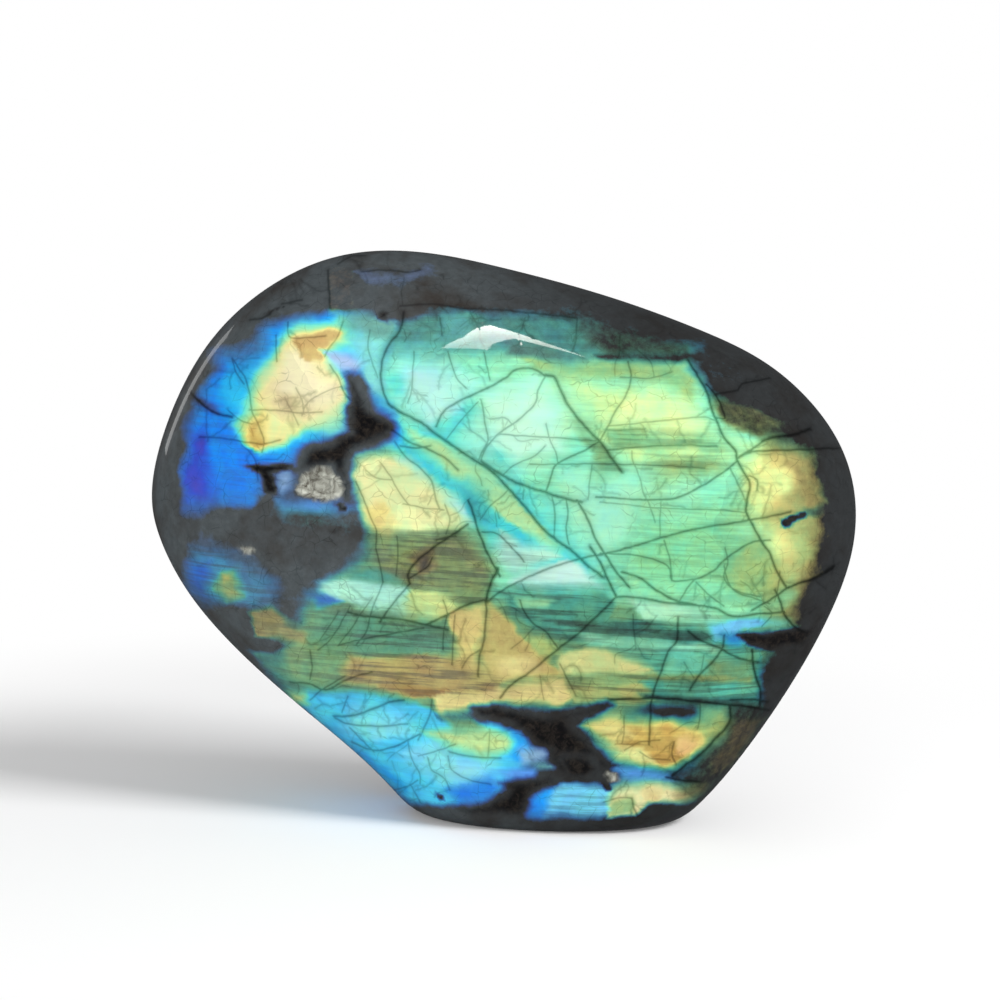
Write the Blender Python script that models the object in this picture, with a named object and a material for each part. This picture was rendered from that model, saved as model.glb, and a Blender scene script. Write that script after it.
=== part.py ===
"""A polished free-form labradorite that stands on a sawn flat.

The stone is one natural piece, so it is one closed solid. Its front outline is a smooth closed curve
through points read around the stone. Each point of a sphere is carried out to that outline and
domed towards the front (-Y) and the back (+Y). Broad flats are then ground on the dome with soft
borders, as a lapidary wheel leaves them, the bottom is sawn flat at z = 0, and the natural pits are
sunk in the front face.

Metres, +Z up, front face towards -Y, origin at the middle of the bounding box's bottom.
"""

import math

import bmesh
import bpy
import numpy as np
from mathutils import Matrix, Vector

MM = 0.001

# Driving dimensions, in millimetres
WIDTH = 120.0
DEPTH = 42.0
SAW_ROUNDING = 2.6
SPHERE_SUBDIVISIONS = 5
PIT_SUBDIVISIONS = 2

# The middle of the front outline, from which the dome is measured
MIDDLE = (3.0, 48.0)

# The front outline, clockwise from the left-hand side, as x and z. The low points lie below the saw cut.
OUTLINE = (
    (-60.3, 53.0), (-57.6, 64.5), (-50.8, 78.0), (-40.3, 88.7), (-28.2, 94.2),
    (-15.0, 94.4), (-1.5, 92.0), (16.0, 87.9), (33.0, 82.5), (46.2, 76.0),
    (56.7, 64.5), (59.9, 50.5), (56.8, 37.2), (50.7, 24.3), (43.0, 11.7),
    (33.2, 0.0), (20.0, -7.5), (5.5, -10.5), (-7.0, -6.0), (-18.7, 5.2),
    (-31.5, 15.4), (-43.3, 24.8), (-52.8, 34.5), (-58.7, 44.3),
)

# How boxy the dome is: a high exponent keeps the face flat and the rim tight. It is highest towards
# the lower left, where the colour runs almost to the edge.
FRONT_EXPONENT = 4.0
BACK_EXPONENT = 3.3
EXPONENT_SWING = 1.3
TIGHT_RIM_DIRECTION = math.radians(235)

# The widest line of the stone lies further back towards the upper right and further forward opposite
RIM_SHIFT = 3.2
RIM_SHIFT_DIRECTION = math.radians(62)

# Ground flats: the way each faces, as degrees right of the front and degrees up, its distance from
# the stone's middle and the width of its soft border
GROUND_FLATS = (
    ("main face", 1.0, 1.5, 19.3, 1.6),
    ("top bevel", 5.0, 30.0, 35.2, 1.2),
    ("right bevel", 42.0, -4.0, 49.5, 3.0),
    ("left bevel", -44.0, 6.0, 50.5, 3.0),
    ("front heel", -16.0, -32.0, 42.3, 3.0),
    ("back face", 184.0, 4.0, 18.6, 2.0),
    ("back shoulder", 205.0, 38.0, 38.5, 3.0),
    ("back heel", 160.0, -30.0, 37.5, 3.0),
)

# Natural pits in the front face: x, z, half width, half height and depth below the face
PITS = (
    ("white vug", -27.0, 56.6, 4.0, 3.0, 1.1),
    ("left vug", -35.9, 57.1, 1.6, 2.1, 0.8),
    ("lower vug", 22.6, 10.7, 1.7, 1.2, 0.7),
)

# Steps of the curves that the outline and the dome are read from
OUTLINE_STEPS_PER_POINT = 24
DOME_STEPS = 240

# Faces that meet at a wider angle than this show an edge
SHARP_ANGLE = math.radians(35)

STONE_COLOUR = (0.075, 0.085, 0.085, 1.0)
STONE_ROUGHNESS = 0.08


def clear_objects():
    """Removes whatever the file holds, so that the stone is built alone."""
    for old in list(bpy.data.objects):
        bpy.data.objects.remove(old)


def outline_radius(directions):
    """The distance from the middle to the outline, in each direction round the front face."""
    points = np.array(OUTLINE) - np.array(MIDDLE)
    count = len(points)
    # The controls of the closed cubic B-spline that passes through the points
    weights = np.eye(count) * 4 / 6
    weights += (np.roll(np.eye(count), 1, axis=1) + np.roll(np.eye(count), -1, axis=1)) / 6
    controls = np.linalg.solve(weights, points)
    t = np.arange(count * OUTLINE_STEPS_PER_POINT) / OUTLINE_STEPS_PER_POINT
    span = t.astype(int)
    f = (t - span)[:, None]
    before, start, end, after = (controls[(span + k) % count] for k in (-1, 0, 1, 2))
    curve = (
        (1 - f) ** 3 * before
        + (3 * f**3 - 6 * f**2 + 4) * start
        + (-3 * f**3 + 3 * f**2 + 3 * f + 1) * end
        + f**3 * after
    ) / 6
    angle = np.arctan2(curve[:, 1], curve[:, 0])
    order = np.argsort(angle)
    return np.interp(directions, angle[order], np.hypot(*curve[order].T), period=2 * math.pi)


def dome(direction, share, exponent, radius):
    """Where a share of the way from the face's middle to the rim lies, as parts of radius and depth.

    The section is a superellipse with a round rim, and shares are even steps along its length.
    """
    angle = np.linspace(0, math.pi / 2, DOME_STEPS)
    out = np.empty((len(direction), 2))
    for k, (power, reach) in enumerate(zip(exponent, radius)):
        across = np.sin(angle) ** (2 / power)
        deep = np.cos(angle)
        step = np.hypot(np.diff(across) * reach, np.diff(deep) * DEPTH / 2)
        length = np.concatenate([[0], np.cumsum(step)]) / step.sum()
        out[k] = np.interp(share[k], length, across), np.interp(share[k], length, deep)
    return out[:, 0], out[:, 1]


def domed_blank(sphere):
    """Carries points of a unit sphere, with -Y at the face's middle, out to the domed stone."""
    direction = np.arctan2(sphere[:, 2], sphere[:, 0])
    tilt = np.arccos(np.clip(-sphere[:, 1], -1, 1)) / (math.pi / 2)
    front = tilt <= 1
    radius = outline_radius(direction)
    swing = EXPONENT_SWING * np.cos(direction - TIGHT_RIM_DIRECTION)
    exponent = np.where(front, FRONT_EXPONENT + swing, BACK_EXPONENT - swing / 3)
    across, deep = dome(direction, np.where(front, tilt, 2 - tilt), exponent, radius)
    shift = RIM_SHIFT * np.cos(direction - RIM_SHIFT_DIRECTION) * across**2
    x = MIDDLE[0] + across * radius * np.cos(direction)
    y = shift + np.where(front, -1, 1) * deep * DEPTH / 2
    z = MIDDLE[1] + across * radius * np.sin(direction)
    return np.stack([x, y, z], axis=1)


def grind(points):
    """Grinds the flats. A point outside a flat's plane is brought back to it along its normal."""
    middle = np.array([MIDDLE[0], 0, MIDDLE[1]])
    for _, right, up, distance, border in GROUND_FLATS:
        right, up = math.radians(right), math.radians(up)
        normal = np.array([
            math.sin(right) * math.cos(up), -math.cos(right) * math.cos(up), math.sin(up)
        ])
        outside = (points - middle) @ normal - distance
        cut = (outside + np.sqrt(outside**2 + border**2)) / 2
        points = points - cut[:, None] * normal
    return points


def saw_base(points):
    """Brings everything below z = 0 up to the saw cut, with a rounded arris."""
    z = points[:, 2]
    arris = (z + SAW_ROUNDING) ** 2 / (4 * SAW_ROUNDING)
    sawn = np.where(z > SAW_ROUNDING, z, np.where(z < -SAW_ROUNDING, 0, arris))
    return np.column_stack([points[:, :2], sawn])


def centred(points):
    """Moves the stone so that its bounding box stands over the origin, and scales it to its width."""
    low, high = points.min(axis=0), points.max(axis=0)
    middle = (low + high) / 2
    return (points - [middle[0], middle[1], 0]) * (WIDTH / (high[0] - low[0]))


def stone_material():
    """Dark grey feldspar, polished."""
    material = bpy.data.materials.new("labradorite")
    material.use_nodes = True
    shader = material.node_tree.nodes["Principled BSDF"]
    shader.inputs["Base Color"].default_value = STONE_COLOUR
    shader.inputs["Roughness"].default_value = STONE_ROUGHNESS
    shader.inputs["Metallic"].default_value = 0.0
    return material


def add_stone():
    """The stone as one object."""
    blank = bmesh.new()
    bmesh.ops.create_icosphere(blank, subdivisions=SPHERE_SUBDIVISIONS, radius=1)
    sphere = np.array([v.co.normalized() for v in blank.verts])
    shaped = centred(saw_base(grind(domed_blank(sphere))))
    for vertex, place in zip(blank.verts, shaped):
        vertex.co = Vector(place) * MM
    # The saw cut is one face, not many small ones in a plane
    sawn = [f for f in blank.faces if all(v.co.z == 0 for v in f.verts)]
    bmesh.ops.dissolve_faces(blank, faces=sawn, use_verts=True)
    bmesh.ops.recalc_face_normals(blank, faces=blank.faces)
    mesh = bpy.data.meshes.new("labradorite_stone")
    blank.to_mesh(mesh)
    blank.free()
    mesh.shade_smooth()
    mesh.set_sharp_from_angle(angle=SHARP_ANGLE)
    stone = bpy.data.objects.new("labradorite_stone", mesh)
    bpy.context.scene.collection.objects.link(stone)
    mesh.materials.append(stone_material())
    return stone


def add_pit(stone, name, x, z, half_width, half_height, depth):
    """Sinks a pit with a broken, many-sided floor in the stone's front face."""
    _, place, normal, _ = stone.ray_cast(Vector((x * MM, -WIDTH * MM, z * MM)), Vector((0, 1, 0)))
    cutter_mesh = bpy.data.meshes.new(name)
    blank = bmesh.new()
    bmesh.ops.create_icosphere(blank, subdivisions=PIT_SUBDIVISIONS, radius=MM)
    turn = normal.to_track_quat("Z", "Y").to_matrix().to_4x4()
    size = Matrix.Diagonal((half_width, half_height, depth, 1))
    bmesh.ops.transform(blank, matrix=Matrix.Translation(place) @ turn @ size, verts=blank.verts)
    blank.to_mesh(cutter_mesh)
    blank.free()
    cutter = bpy.data.objects.new(name, cutter_mesh)
    bpy.context.scene.collection.objects.link(cutter)
    cutter.hide_render = True
    cutter.display_type = "WIRE"
    cut = stone.modifiers.new(name, "BOOLEAN")
    cut.operation = "DIFFERENCE"
    cut.object = cutter


def main():
    """Builds the stone and sinks its pits."""
    clear_objects()
    stone = add_stone()
    bpy.context.view_layer.update()
    for name, x, z, half_width, half_height, depth in PITS:
        add_pit(stone, name.replace(" ", "_"), x, z, half_width, half_height, depth)


main()
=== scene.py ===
"""A polished free-form labradorite that stands on a pale floor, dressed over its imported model.

The stone's form is worked out again from the same named values as the part, with a finer skin. Its
markings are given as places in the photograph's frame, a picture 1000 pixels wide and high, and are
carried onto the skin along the camera's rays. The rest is metres, +Z up, front face towards -Y.
"""

import logging
import math
from dataclasses import dataclass, field
from enum import Enum

import bmesh
import bpy
import numpy as np
from mathutils import Matrix, Vector, noise
from mathutils.bvhtree import BVHTree
from mathutils.geometry import delaunay_2d_cdt


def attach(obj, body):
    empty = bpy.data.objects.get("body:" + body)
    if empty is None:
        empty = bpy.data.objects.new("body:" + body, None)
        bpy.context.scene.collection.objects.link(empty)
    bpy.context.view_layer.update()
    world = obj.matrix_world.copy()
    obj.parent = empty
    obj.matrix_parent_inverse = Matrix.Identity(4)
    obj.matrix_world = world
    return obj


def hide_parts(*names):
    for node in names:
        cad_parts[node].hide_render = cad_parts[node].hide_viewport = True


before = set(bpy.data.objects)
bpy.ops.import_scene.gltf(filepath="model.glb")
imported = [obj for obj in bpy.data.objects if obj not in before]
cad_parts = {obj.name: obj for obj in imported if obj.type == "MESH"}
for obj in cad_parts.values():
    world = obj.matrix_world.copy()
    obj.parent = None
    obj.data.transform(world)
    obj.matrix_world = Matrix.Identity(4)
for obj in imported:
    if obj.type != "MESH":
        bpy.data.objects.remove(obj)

MM = 0.001
PICTURE_MIDDLE = 500.0

LOG = logging.getLogger("labradorite")


def linear(colour: str, alpha: float = 1.0) -> tuple[float, float, float, float]:
    """Turns an sRGB hex colour to linear light.

    Args:
        colour: The colour as "#rrggbb".
        alpha: The alpha to give with it.

    Returns:
        Red, green, blue and alpha.
    """
    parts = [int(colour[i : i + 2], 16) / 255 for i in (1, 3, 5)]
    light = [p / 12.92 if p <= 0.04045 else ((p + 0.055) / 1.055) ** 2.4 for p in parts]
    return light[0], light[1], light[2], alpha


def add_node(
    tree: bpy.types.NodeTree, kind: str, links: dict[str | int, object] | None = None, **settings: object
) -> bpy.types.Node:
    """Adds a node with its settings and links.

    Args:
        tree: The node tree that takes it.
        kind: The node's type name without "ShaderNode".
        links: Input name or number to a value, or to the output socket that feeds it.
        settings: Properties of the node itself.

    Returns:
        The new node.
    """
    node = tree.nodes.new("ShaderNode" + kind)
    for name, value in settings.items():
        setattr(node, name, value)
    for name, value in (links or {}).items():
        if isinstance(value, bpy.types.NodeSocket):
            tree.links.new(value, node.inputs[name])
        else:
            node.inputs[name].default_value = value
    return node


def smooth(low: float, high: float, value: np.ndarray) -> np.ndarray:
    """Rises smoothly from 0 at low to 1 at high.

    Args:
        low: Where the rise starts.
        high: Where it ends. It may lie below low.
        value: The numbers to grade.

    Returns:
        A number from 0 to 1 for each.
    """
    share = np.clip((value - low) / (high - low), 0, 1)
    return share * share * (3 - 2 * share)


@dataclass(frozen=True)
class Viewpoint:
    """The photograph's camera: where it stands, what it looks at and how large that comes out."""

    azimuth: float = 8.0
    elevation: float = 9.0
    distance_mm: float = 500.0
    target_mm: tuple[float, float, float] = (0.0, 0.0, 52.8)
    pixels_per_mm: float = 5.9
    roll: float = 1.8
    sensor_mm: float = 36.0

    def axes(self) -> tuple[np.ndarray, np.ndarray, np.ndarray]:
        """Works out the picture's right and up and the way back to the camera.

        Returns:
            Three unit vectors.
        """
        turn, lift, roll = (math.radians(a) for a in (self.azimuth, self.elevation, self.roll))
        level = np.array([math.cos(turn), math.sin(turn), 0.0])
        back = np.array([
            math.sin(turn) * math.cos(lift), -math.cos(turn) * math.cos(lift), math.sin(lift)
        ])
        rise = np.cross(back, level)
        right = level * math.cos(roll) + rise * math.sin(roll)
        up = rise * math.cos(roll) - level * math.sin(roll)
        return right, up, back

    def eye(self) -> np.ndarray:
        """The camera's place, in millimetres."""
        return np.array(self.target_mm) + self.axes()[2] * self.distance_mm

    def pixels(self, points: np.ndarray) -> np.ndarray:
        """Finds where points come out in the picture.

        Args:
            points: Places in millimetres, one a row.

        Returns:
            Pixel x and y, one point a row.
        """
        right, up, back = self.axes()
        away = points - np.array(self.target_mm)
        scale = self.pixels_per_mm * self.distance_mm / (self.distance_mm - away @ back)
        return np.column_stack([
            PICTURE_MIDDLE + scale * (away @ right), PICTURE_MIDDLE - scale * (away @ up)
        ])

    def rays(self, pixels: np.ndarray) -> np.ndarray:
        """The unit ways from the camera through pixels.

        Args:
            pixels: Pixel x and y, one a row.

        Returns:
            One unit vector a row.
        """
        right, up, back = self.axes()
        reach = self.pixels_per_mm * self.distance_mm
        across = (pixels[:, :1] - PICTURE_MIDDLE) / reach
        along = (PICTURE_MIDDLE - pixels[:, 1:]) / reach
        ways = across * right + along * up - back
        return ways / np.linalg.norm(ways, axis=1, keepdims=True)

    def add_camera(self) -> bpy.types.Object:
        """Adds the camera and makes it the scene's.

        Returns:
            The camera object.
        """
        right, up, back = self.axes()
        data = bpy.data.cameras.new("camera")
        data.sensor_width = self.sensor_mm
        data.lens = self.pixels_per_mm * self.distance_mm * self.sensor_mm / (2 * PICTURE_MIDDLE)
        data.clip_start = 0.01
        data.clip_end = 20.0
        camera = bpy.data.objects.new("camera", data)
        turn = Matrix((right, up, back)).transposed().to_4x4()
        camera.matrix_world = Matrix.Translation(Vector(self.eye()) * MM) @ turn
        bpy.context.scene.collection.objects.link(camera)
        bpy.context.scene.camera = camera
        return camera


@dataclass(frozen=True)
class StoneForm:
    """The ground and sawn form of the stone, in millimetres, by the same rules as the part."""

    width: float = 120.0
    depth: float = 42.0
    saw_rounding: float = 2.6
    part_subdivisions: int = 5
    middle: tuple[float, float] = (3.0, 48.0)
    outline: tuple[tuple[float, float], ...] = (
        (-60.3, 53.0), (-57.6, 64.5), (-50.8, 78.0), (-40.3, 88.7), (-28.2, 94.2),
        (-15.0, 94.4), (-1.5, 92.0), (16.0, 87.9), (33.0, 82.5), (46.2, 76.0),
        (56.7, 64.5), (59.9, 50.5), (56.8, 37.2), (50.7, 24.3), (43.0, 11.7),
        (33.2, 0.0), (20.0, -7.5), (5.5, -10.5), (-7.0, -6.0), (-18.7, 5.2),
        (-31.5, 15.4), (-43.3, 24.8), (-52.8, 34.5), (-58.7, 44.3),
    )
    front_exponent: float = 4.0
    back_exponent: float = 3.3
    exponent_swing: float = 1.3
    tight_rim_degrees: float = 235.0
    rim_shift: float = 3.2
    rim_shift_degrees: float = 62.0
    # Each flat: degrees right of the front, degrees up, distance from the middle and soft border
    flats: tuple[tuple[float, float, float, float], ...] = (
        (1.0, 1.5, 19.3, 1.6), (5.0, 30.0, 35.2, 1.2), (42.0, -4.0, 49.5, 3.0),
        (-44.0, 6.0, 50.5, 3.0), (-16.0, -32.0, 42.3, 3.0), (184.0, 4.0, 18.6, 2.0),
        (205.0, 38.0, 38.5, 3.0), (160.0, -30.0, 37.5, 3.0),
    )
    outline_steps: int = 24
    dome_steps: int = 240

    def radius(self, directions: np.ndarray) -> np.ndarray:
        """The distance from the middle to the outline.

        Args:
            directions: Angles round the front face, in radians.

        Returns:
            A distance for each.
        """
        points = np.array(self.outline) - np.array(self.middle)
        count = len(points)
        eye = np.eye(count)
        weights = (eye * 4 + np.roll(eye, 1, axis=1) + np.roll(eye, -1, axis=1)) / 6
        controls = np.linalg.solve(weights, points)
        t = np.arange(count * self.outline_steps) / self.outline_steps
        span = t.astype(int)
        f = (t - span)[:, None]
        before, start, end, after = (controls[(span + k) % count] for k in (-1, 0, 1, 2))
        curve = (
            (1 - f) ** 3 * before
            + (3 * f**3 - 6 * f**2 + 4) * start
            + (-3 * f**3 + 3 * f**2 + 3 * f + 1) * end
            + f**3 * after
        ) / 6
        angle = np.arctan2(curve[:, 1], curve[:, 0])
        order = np.argsort(angle)
        return np.interp(directions, angle[order], np.hypot(*curve[order].T), period=2 * math.pi)

    def section(self, share: np.ndarray, exponent: np.ndarray, radius: np.ndarray) -> np.ndarray:
        """Where shares of the way from the face's middle to the rim lie on the domed section.

        Args:
            share: Shares of the section's length.
            exponent: How boxy the section is there.
            radius: How far off the rim is there.

        Returns:
            Parts of the radius and of half the depth, one pair a row.
        """
        angle = np.linspace(0, math.pi / 2, self.dome_steps)
        deep = np.cos(angle)
        sine = np.sin(angle)
        out = np.empty((len(share), 2))
        for k, (part, power, reach) in enumerate(zip(share, exponent, radius)):
            across = sine ** (2 / power)
            step = np.hypot(np.diff(across) * reach, np.diff(deep) * self.depth / 2)
            length = np.concatenate([[0], np.cumsum(step)]) / step.sum()
            out[k] = np.interp(part, length, across), np.interp(part, length, deep)
        return out

    def ground(self, sphere: np.ndarray) -> np.ndarray:
        """Carries points of a unit sphere to the ground and sawn stone, before it is centred.

        Args:
            sphere: Unit vectors, with -Y at the face's middle.

        Returns:
            Places in millimetres.
        """
        direction = np.arctan2(sphere[:, 2], sphere[:, 0])
        tilt = np.arccos(np.clip(-sphere[:, 1], -1, 1)) / (math.pi / 2)
        front = tilt <= 1
        radius = self.radius(direction)
        swing = self.exponent_swing * np.cos(direction - math.radians(self.tight_rim_degrees))
        exponent = np.where(front, self.front_exponent + swing, self.back_exponent - swing / 3)
        across, deep = self.section(np.where(front, tilt, 2 - tilt), exponent, radius).T
        shift = self.rim_shift * np.cos(direction - math.radians(self.rim_shift_degrees)) * across**2
        points = np.column_stack([
            self.middle[0] + across * radius * np.cos(direction),
            shift + np.where(front, -1, 1) * deep * self.depth / 2,
            self.middle[1] + across * radius * np.sin(direction),
        ])
        middle = np.array([self.middle[0], 0, self.middle[1]])
        for right, lift, distance, border in self.flats:
            right, lift = math.radians(right), math.radians(lift)
            normal = np.array([
                math.sin(right) * math.cos(lift), -math.cos(right) * math.cos(lift), math.sin(lift)
            ])
            outside = (points - middle) @ normal - distance
            points = points - ((outside + np.sqrt(outside**2 + border**2)) / 2)[:, None] * normal
        z = points[:, 2]
        arris = (z + self.saw_rounding) ** 2 / (4 * self.saw_rounding)
        sawn = np.where(z > self.saw_rounding, z, np.where(z < -self.saw_rounding, 0, arris))
        return np.column_stack([points[:, :2], sawn])

    def place(self) -> tuple[np.ndarray, float]:
        """How far the ground stone is moved and scaled to stand over the origin.

        Returns:
            The move in millimetres and the scale after it.
        """
        points = self.ground(sphere_points(self.part_subdivisions)[0])
        low, high = points.min(axis=0), points.max(axis=0)
        return np.array([-(low[0] + high[0]) / 2, -(low[1] + high[1]) / 2, 0]), self.width / (high - low)[0]


def sphere_points(subdivisions: int) -> tuple[np.ndarray, np.ndarray]:
    """The points and triangles of an evenly divided unit sphere.

    Args:
        subdivisions: How often an icosahedron's faces are divided.

    Returns:
        Unit vectors and vertex numbers of triangles.
    """
    blank = bmesh.new()
    bmesh.ops.create_icosphere(blank, subdivisions=subdivisions, radius=1)
    points = np.array([v.co.normalized() for v in blank.verts])
    faces = np.array([[v.index for v in f.verts] for f in blank.faces])
    blank.free()
    return points, faces


class Ground(Enum):
    """What a marking does to the stone under it."""

    FLASH = "flash"
    INCLUSION = "inclusion"
    CRYSTAL = "crystal"


@dataclass(frozen=True)
class Patch:
    """One field of colour play or one inclusion, as an outline in the picture's frame."""

    name: str
    hue: float
    strength: float
    milk: float
    lamellae: float
    soft: float
    outline: tuple[tuple[float, float], ...]
    kind: Ground = Ground.FLASH


@dataclass(frozen=True)
class Crack:
    """One crack inside the stone: its width in pixels, its darkness and the points along it."""

    width: float
    dark: float
    points: tuple[tuple[float, float], ...]


def flash(
    name: str, hue: float, strength: float, milk: float, lamellae: float, soft: float,
    *outline: tuple[float, float],
) -> Patch:
    """Names a field of colour play.

    Args:
        name: What it is called.
        hue: Its place on the scale of colours.
        strength: How much of its colour shows over the body, from 0 to 1.
        milk: How far the colour is paled.
        lamellae: How strong the straight fine lamellae are in it.
        soft: Half the breadth of its border, in pixels.
        outline: Its corners, as pixel x and y.

    Returns:
        The patch.
    """
    return Patch(name, hue, strength, milk, lamellae, soft, outline)


def inclusion(name: str, soft: float, *outline: tuple[float, float]) -> Patch:
    """Names a dark inclusion, which keeps a deep blue border.

    Args:
        name: What it is called.
        soft: Half the breadth of its border, in pixels.
        outline: Its corners, as pixel x and y.

    Returns:
        The patch.
    """
    return Patch(name, 0.12, 0.0, 0.0, 0.0, soft, outline, Ground.INCLUSION)


def crystal(name: str, soft: float, *outline: tuple[float, float]) -> Patch:
    """Names a cluster of pale crystals in a pit.

    Args:
        name: What it is called.
        soft: Half the breadth of its border, in pixels.
        outline: Its corners, as pixel x and y.

    Returns:
        The patch.
    """
    return Patch(name, 0.8, 0.0, 0.0, 0.0, soft, outline, Ground.CRYSTAL)


# Hue runs from violet at 0 over blue, cyan, mint, green and gold to copper at 1, as the layers that
# make the colour lie further apart
MAIN_FIELD = (
    flash("right glow", 0.85, 0.0, 0.0, 0.1, 8,
          (760, 420), (800, 425), (850, 440), (862, 520), (850, 600), (820, 640), (780, 620), (770, 500)),
    flash("middle ground", 0.66, 0.44, 0.0, 0.7, 9,
          (300, 604), (340, 575), (372, 535), (356, 500), (355, 455), (400, 440), (480, 470), (600, 560),
          (795, 600), (765, 650), (757, 700), (640, 708), (575, 706), (440, 714), (345, 694), (285, 690),
          (262, 665), (296, 640)),
    flash("teal ground", 0.53, 0.72, 0.0, 0.3, 8,
          (388, 436), (420, 450), (464, 500), (474, 530), (494, 590), (600, 602), (604, 560), (520, 470),
          (440, 425)),
    flash("main", 0.60, 0.95, 0.10, 0.3, 9,
          (392, 330), (440, 330), (560, 340), (640, 345), (700, 352), (716, 392), (742, 408), (772, 430),
          (802, 450), (816, 480), (824, 505), (820, 535), (812, 560), (806, 590), (792, 618), (740, 622),
          (690, 612), (620, 604), (560, 600), (500, 598), (480, 560), (465, 530), (430, 500), (398, 470),
          (384, 430), (380, 395), (380, 355)),
    flash("turquoise left", 0.50, 0.92, 0.06, 0.2, 22,
          (385, 355), (430, 350), (468, 375), (480, 420), (520, 470), (560, 520), (600, 560), (600, 600),
          (520, 570), (470, 520), (430, 480), (400, 440), (386, 400)),
    flash("pale cyan heart", 0.50, 1.0, 0.42, 0.08, 13,
          (402, 366), (440, 362), (470, 380), (458, 408), (430, 425), (405, 405)),
    flash("mint heart", 0.57, 1.0, 0.42, 0.08, 16,
          (482, 395), (540, 380), (560, 410), (562, 450), (520, 460), (487, 440)),
    flash("green top", 0.70, 0.95, 0.10, 0.15, 15,
          (566, 384), (690, 390), (714, 440), (704, 462), (640, 468), (602, 442), (575, 410)),
    flash("clear mint", 0.58, 0.95, 0.22, 0.1, 16,
          (560, 470), (640, 480), (700, 490), (690, 520), (640, 550), (600, 560), (570, 520)),
    flash("right lower field", 0.63, 0.80, 0.0, 0.35, 18,
          (640, 510), (745, 500), (762, 545), (787, 585), (780, 608), (700, 604), (640, 590), (618, 562)),
    flash("olive facet", 0.70, 0.62, 0.0, 0.15, 5,
          (724, 566), (756, 540), (770, 548), (782, 580), (776, 596), (740, 592), (728, 580)),
    flash("right yellow", 0.76, 0.95, 0.12, 0.12, 14,
          (738, 440), (800, 455), (812, 490), (808, 530), (800, 585), (780, 580), (766, 545), (750, 520),
          (742, 480)),
    flash("gold fringe", 0.82, 0.50, 0.1, 0.1, 14,
          (778, 448), (806, 464), (820, 490), (816, 516), (800, 512), (795, 480)),
    flash("smoky band one", 0.66, 0.62, 0.0, 0.6, 6,
          (604, 431), (640, 428), (700, 437), (717, 446), (660, 447), (610, 449)),
    flash("smoky band two", 0.69, 0.66, 0.0, 0.6, 7,
          (652, 457), (712, 457), (722, 465), (700, 476), (662, 474)),
    flash("smoky heel", 0.66, 0.55, 0.0, 0.5, 8,
          (578, 425), (598, 440), (622, 472), (600, 478), (585, 450)),
    flash("yellow light", 0.73, 1.0, 0.2, 0.1, 9,
          (622, 398), (680, 402), (705, 420), (690, 432), (640, 424), (612, 418)),
    flash("olive below the crease", 0.69, 0.62, 0.0, 0.2, 6,
          (520, 356), (600, 360), (690, 362), (700, 380), (690, 400), (664, 380), (620, 378), (560, 378),
          (532, 370)),
    flash("band along the great crack", 0.68, 0.92, 0.12, 0.1, 3,
          (410, 430), (440, 440), (500, 485), (532, 516), (556, 545), (538, 545), (500, 515), (470, 488),
          (440, 465), (415, 445)),
    flash("cyan band", 0.46, 0.85, 0.0, 0.1, 5,
          (398, 428), (440, 466), (478, 500), (510, 525), (552, 548), (540, 566), (508, 560), (490, 540),
          (474, 510), (430, 482), (398, 444)),
    flash("shadow by the knee", 0.48, 0.55, 0.0, 0.1, 8,
          (462, 488), (480, 494), (490, 520), (482, 530), (470, 508)),
    flash("pale strip", 0.52, 0.95, 0.42, 0.1, 3,
          (392, 456), (410, 458), (440, 486), (468, 506), (474, 524), (462, 522), (440, 508), (418, 490)),
    flash("pale kite", 0.52, 1.0, 0.55, 0.15, 3,
          (566, 560), (578, 566), (600, 588), (590, 584), (540, 588), (508, 582), (530, 572)),
    flash("pale shelf", 0.54, 0.95, 0.4, 0.5, 4,
          (500, 534), (520, 545), (548, 546), (562, 556), (530, 566), (512, 572), (492, 560)),
    flash("grey stripes", 0.55, 0.42, 0.0, 0.9, 5,
          (496, 590), (600, 590), (612, 602), (602, 645), (544, 634), (514, 612)),
    flash("green lip", 0.67, 0.75, 0.1, 0.5, 3,
          (520, 600), (555, 600), (552, 608), (524, 608)),
    flash("mint lip", 0.62, 0.85, 0.25, 0.3, 4,
          (626, 598), (660, 602), (700, 608), (728, 622), (700, 624), (640, 622)),
    flash("teal stripes", 0.56, 0.52, 0.0, 0.85, 7,
          (600, 622), (700, 624), (735, 628), (765, 650), (752, 700), (660, 702), (600, 690), (585, 650)),
    flash("mint stripe", 0.60, 0.78, 0.2, 0.7, 4,
          (580, 633), (640, 636), (720, 648), (715, 654), (640, 646), (590, 642)),
    flash("smoky stripe", 0.55, 0.22, 0.0, 0.9, 4,
          (545, 622), (640, 622), (700, 632), (722, 642), (680, 643), (600, 632)),
    flash("teal pane", 0.56, 0.66, 0.05, 0.3, 4,
          (668, 652), (706, 656), (740, 660), (752, 675), (700, 676), (662, 676)),
    flash("olive pane", 0.66, 0.42, 0.0, 0.3, 5,
          (706, 662), (750, 660), (752, 678), (706, 676)),
    flash("pale hill", 0.78, 0.74, 0.15, 0.12, 3,
          (560, 655), (582, 646), (606, 648), (640, 660), (660, 674), (600, 676), (555, 676)),
    flash("hill stripe", 0.72, 0.4, 0.0, 0.6, 3,
          (500, 676), (560, 676), (660, 675), (755, 677), (750, 683), (600, 681), (510, 681)),
    flash("olive stripes", 0.76, 0.55, 0.05, 0.85, 4,
          (560, 683), (640, 682), (660, 700), (640, 707), (575, 703)),
    flash("dark seam", 0.5, 0.08, 0.0, 0.3, 4,
          (640, 694), (700, 699), (770, 706), (765, 712), (700, 706), (645, 700)),
)
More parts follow.
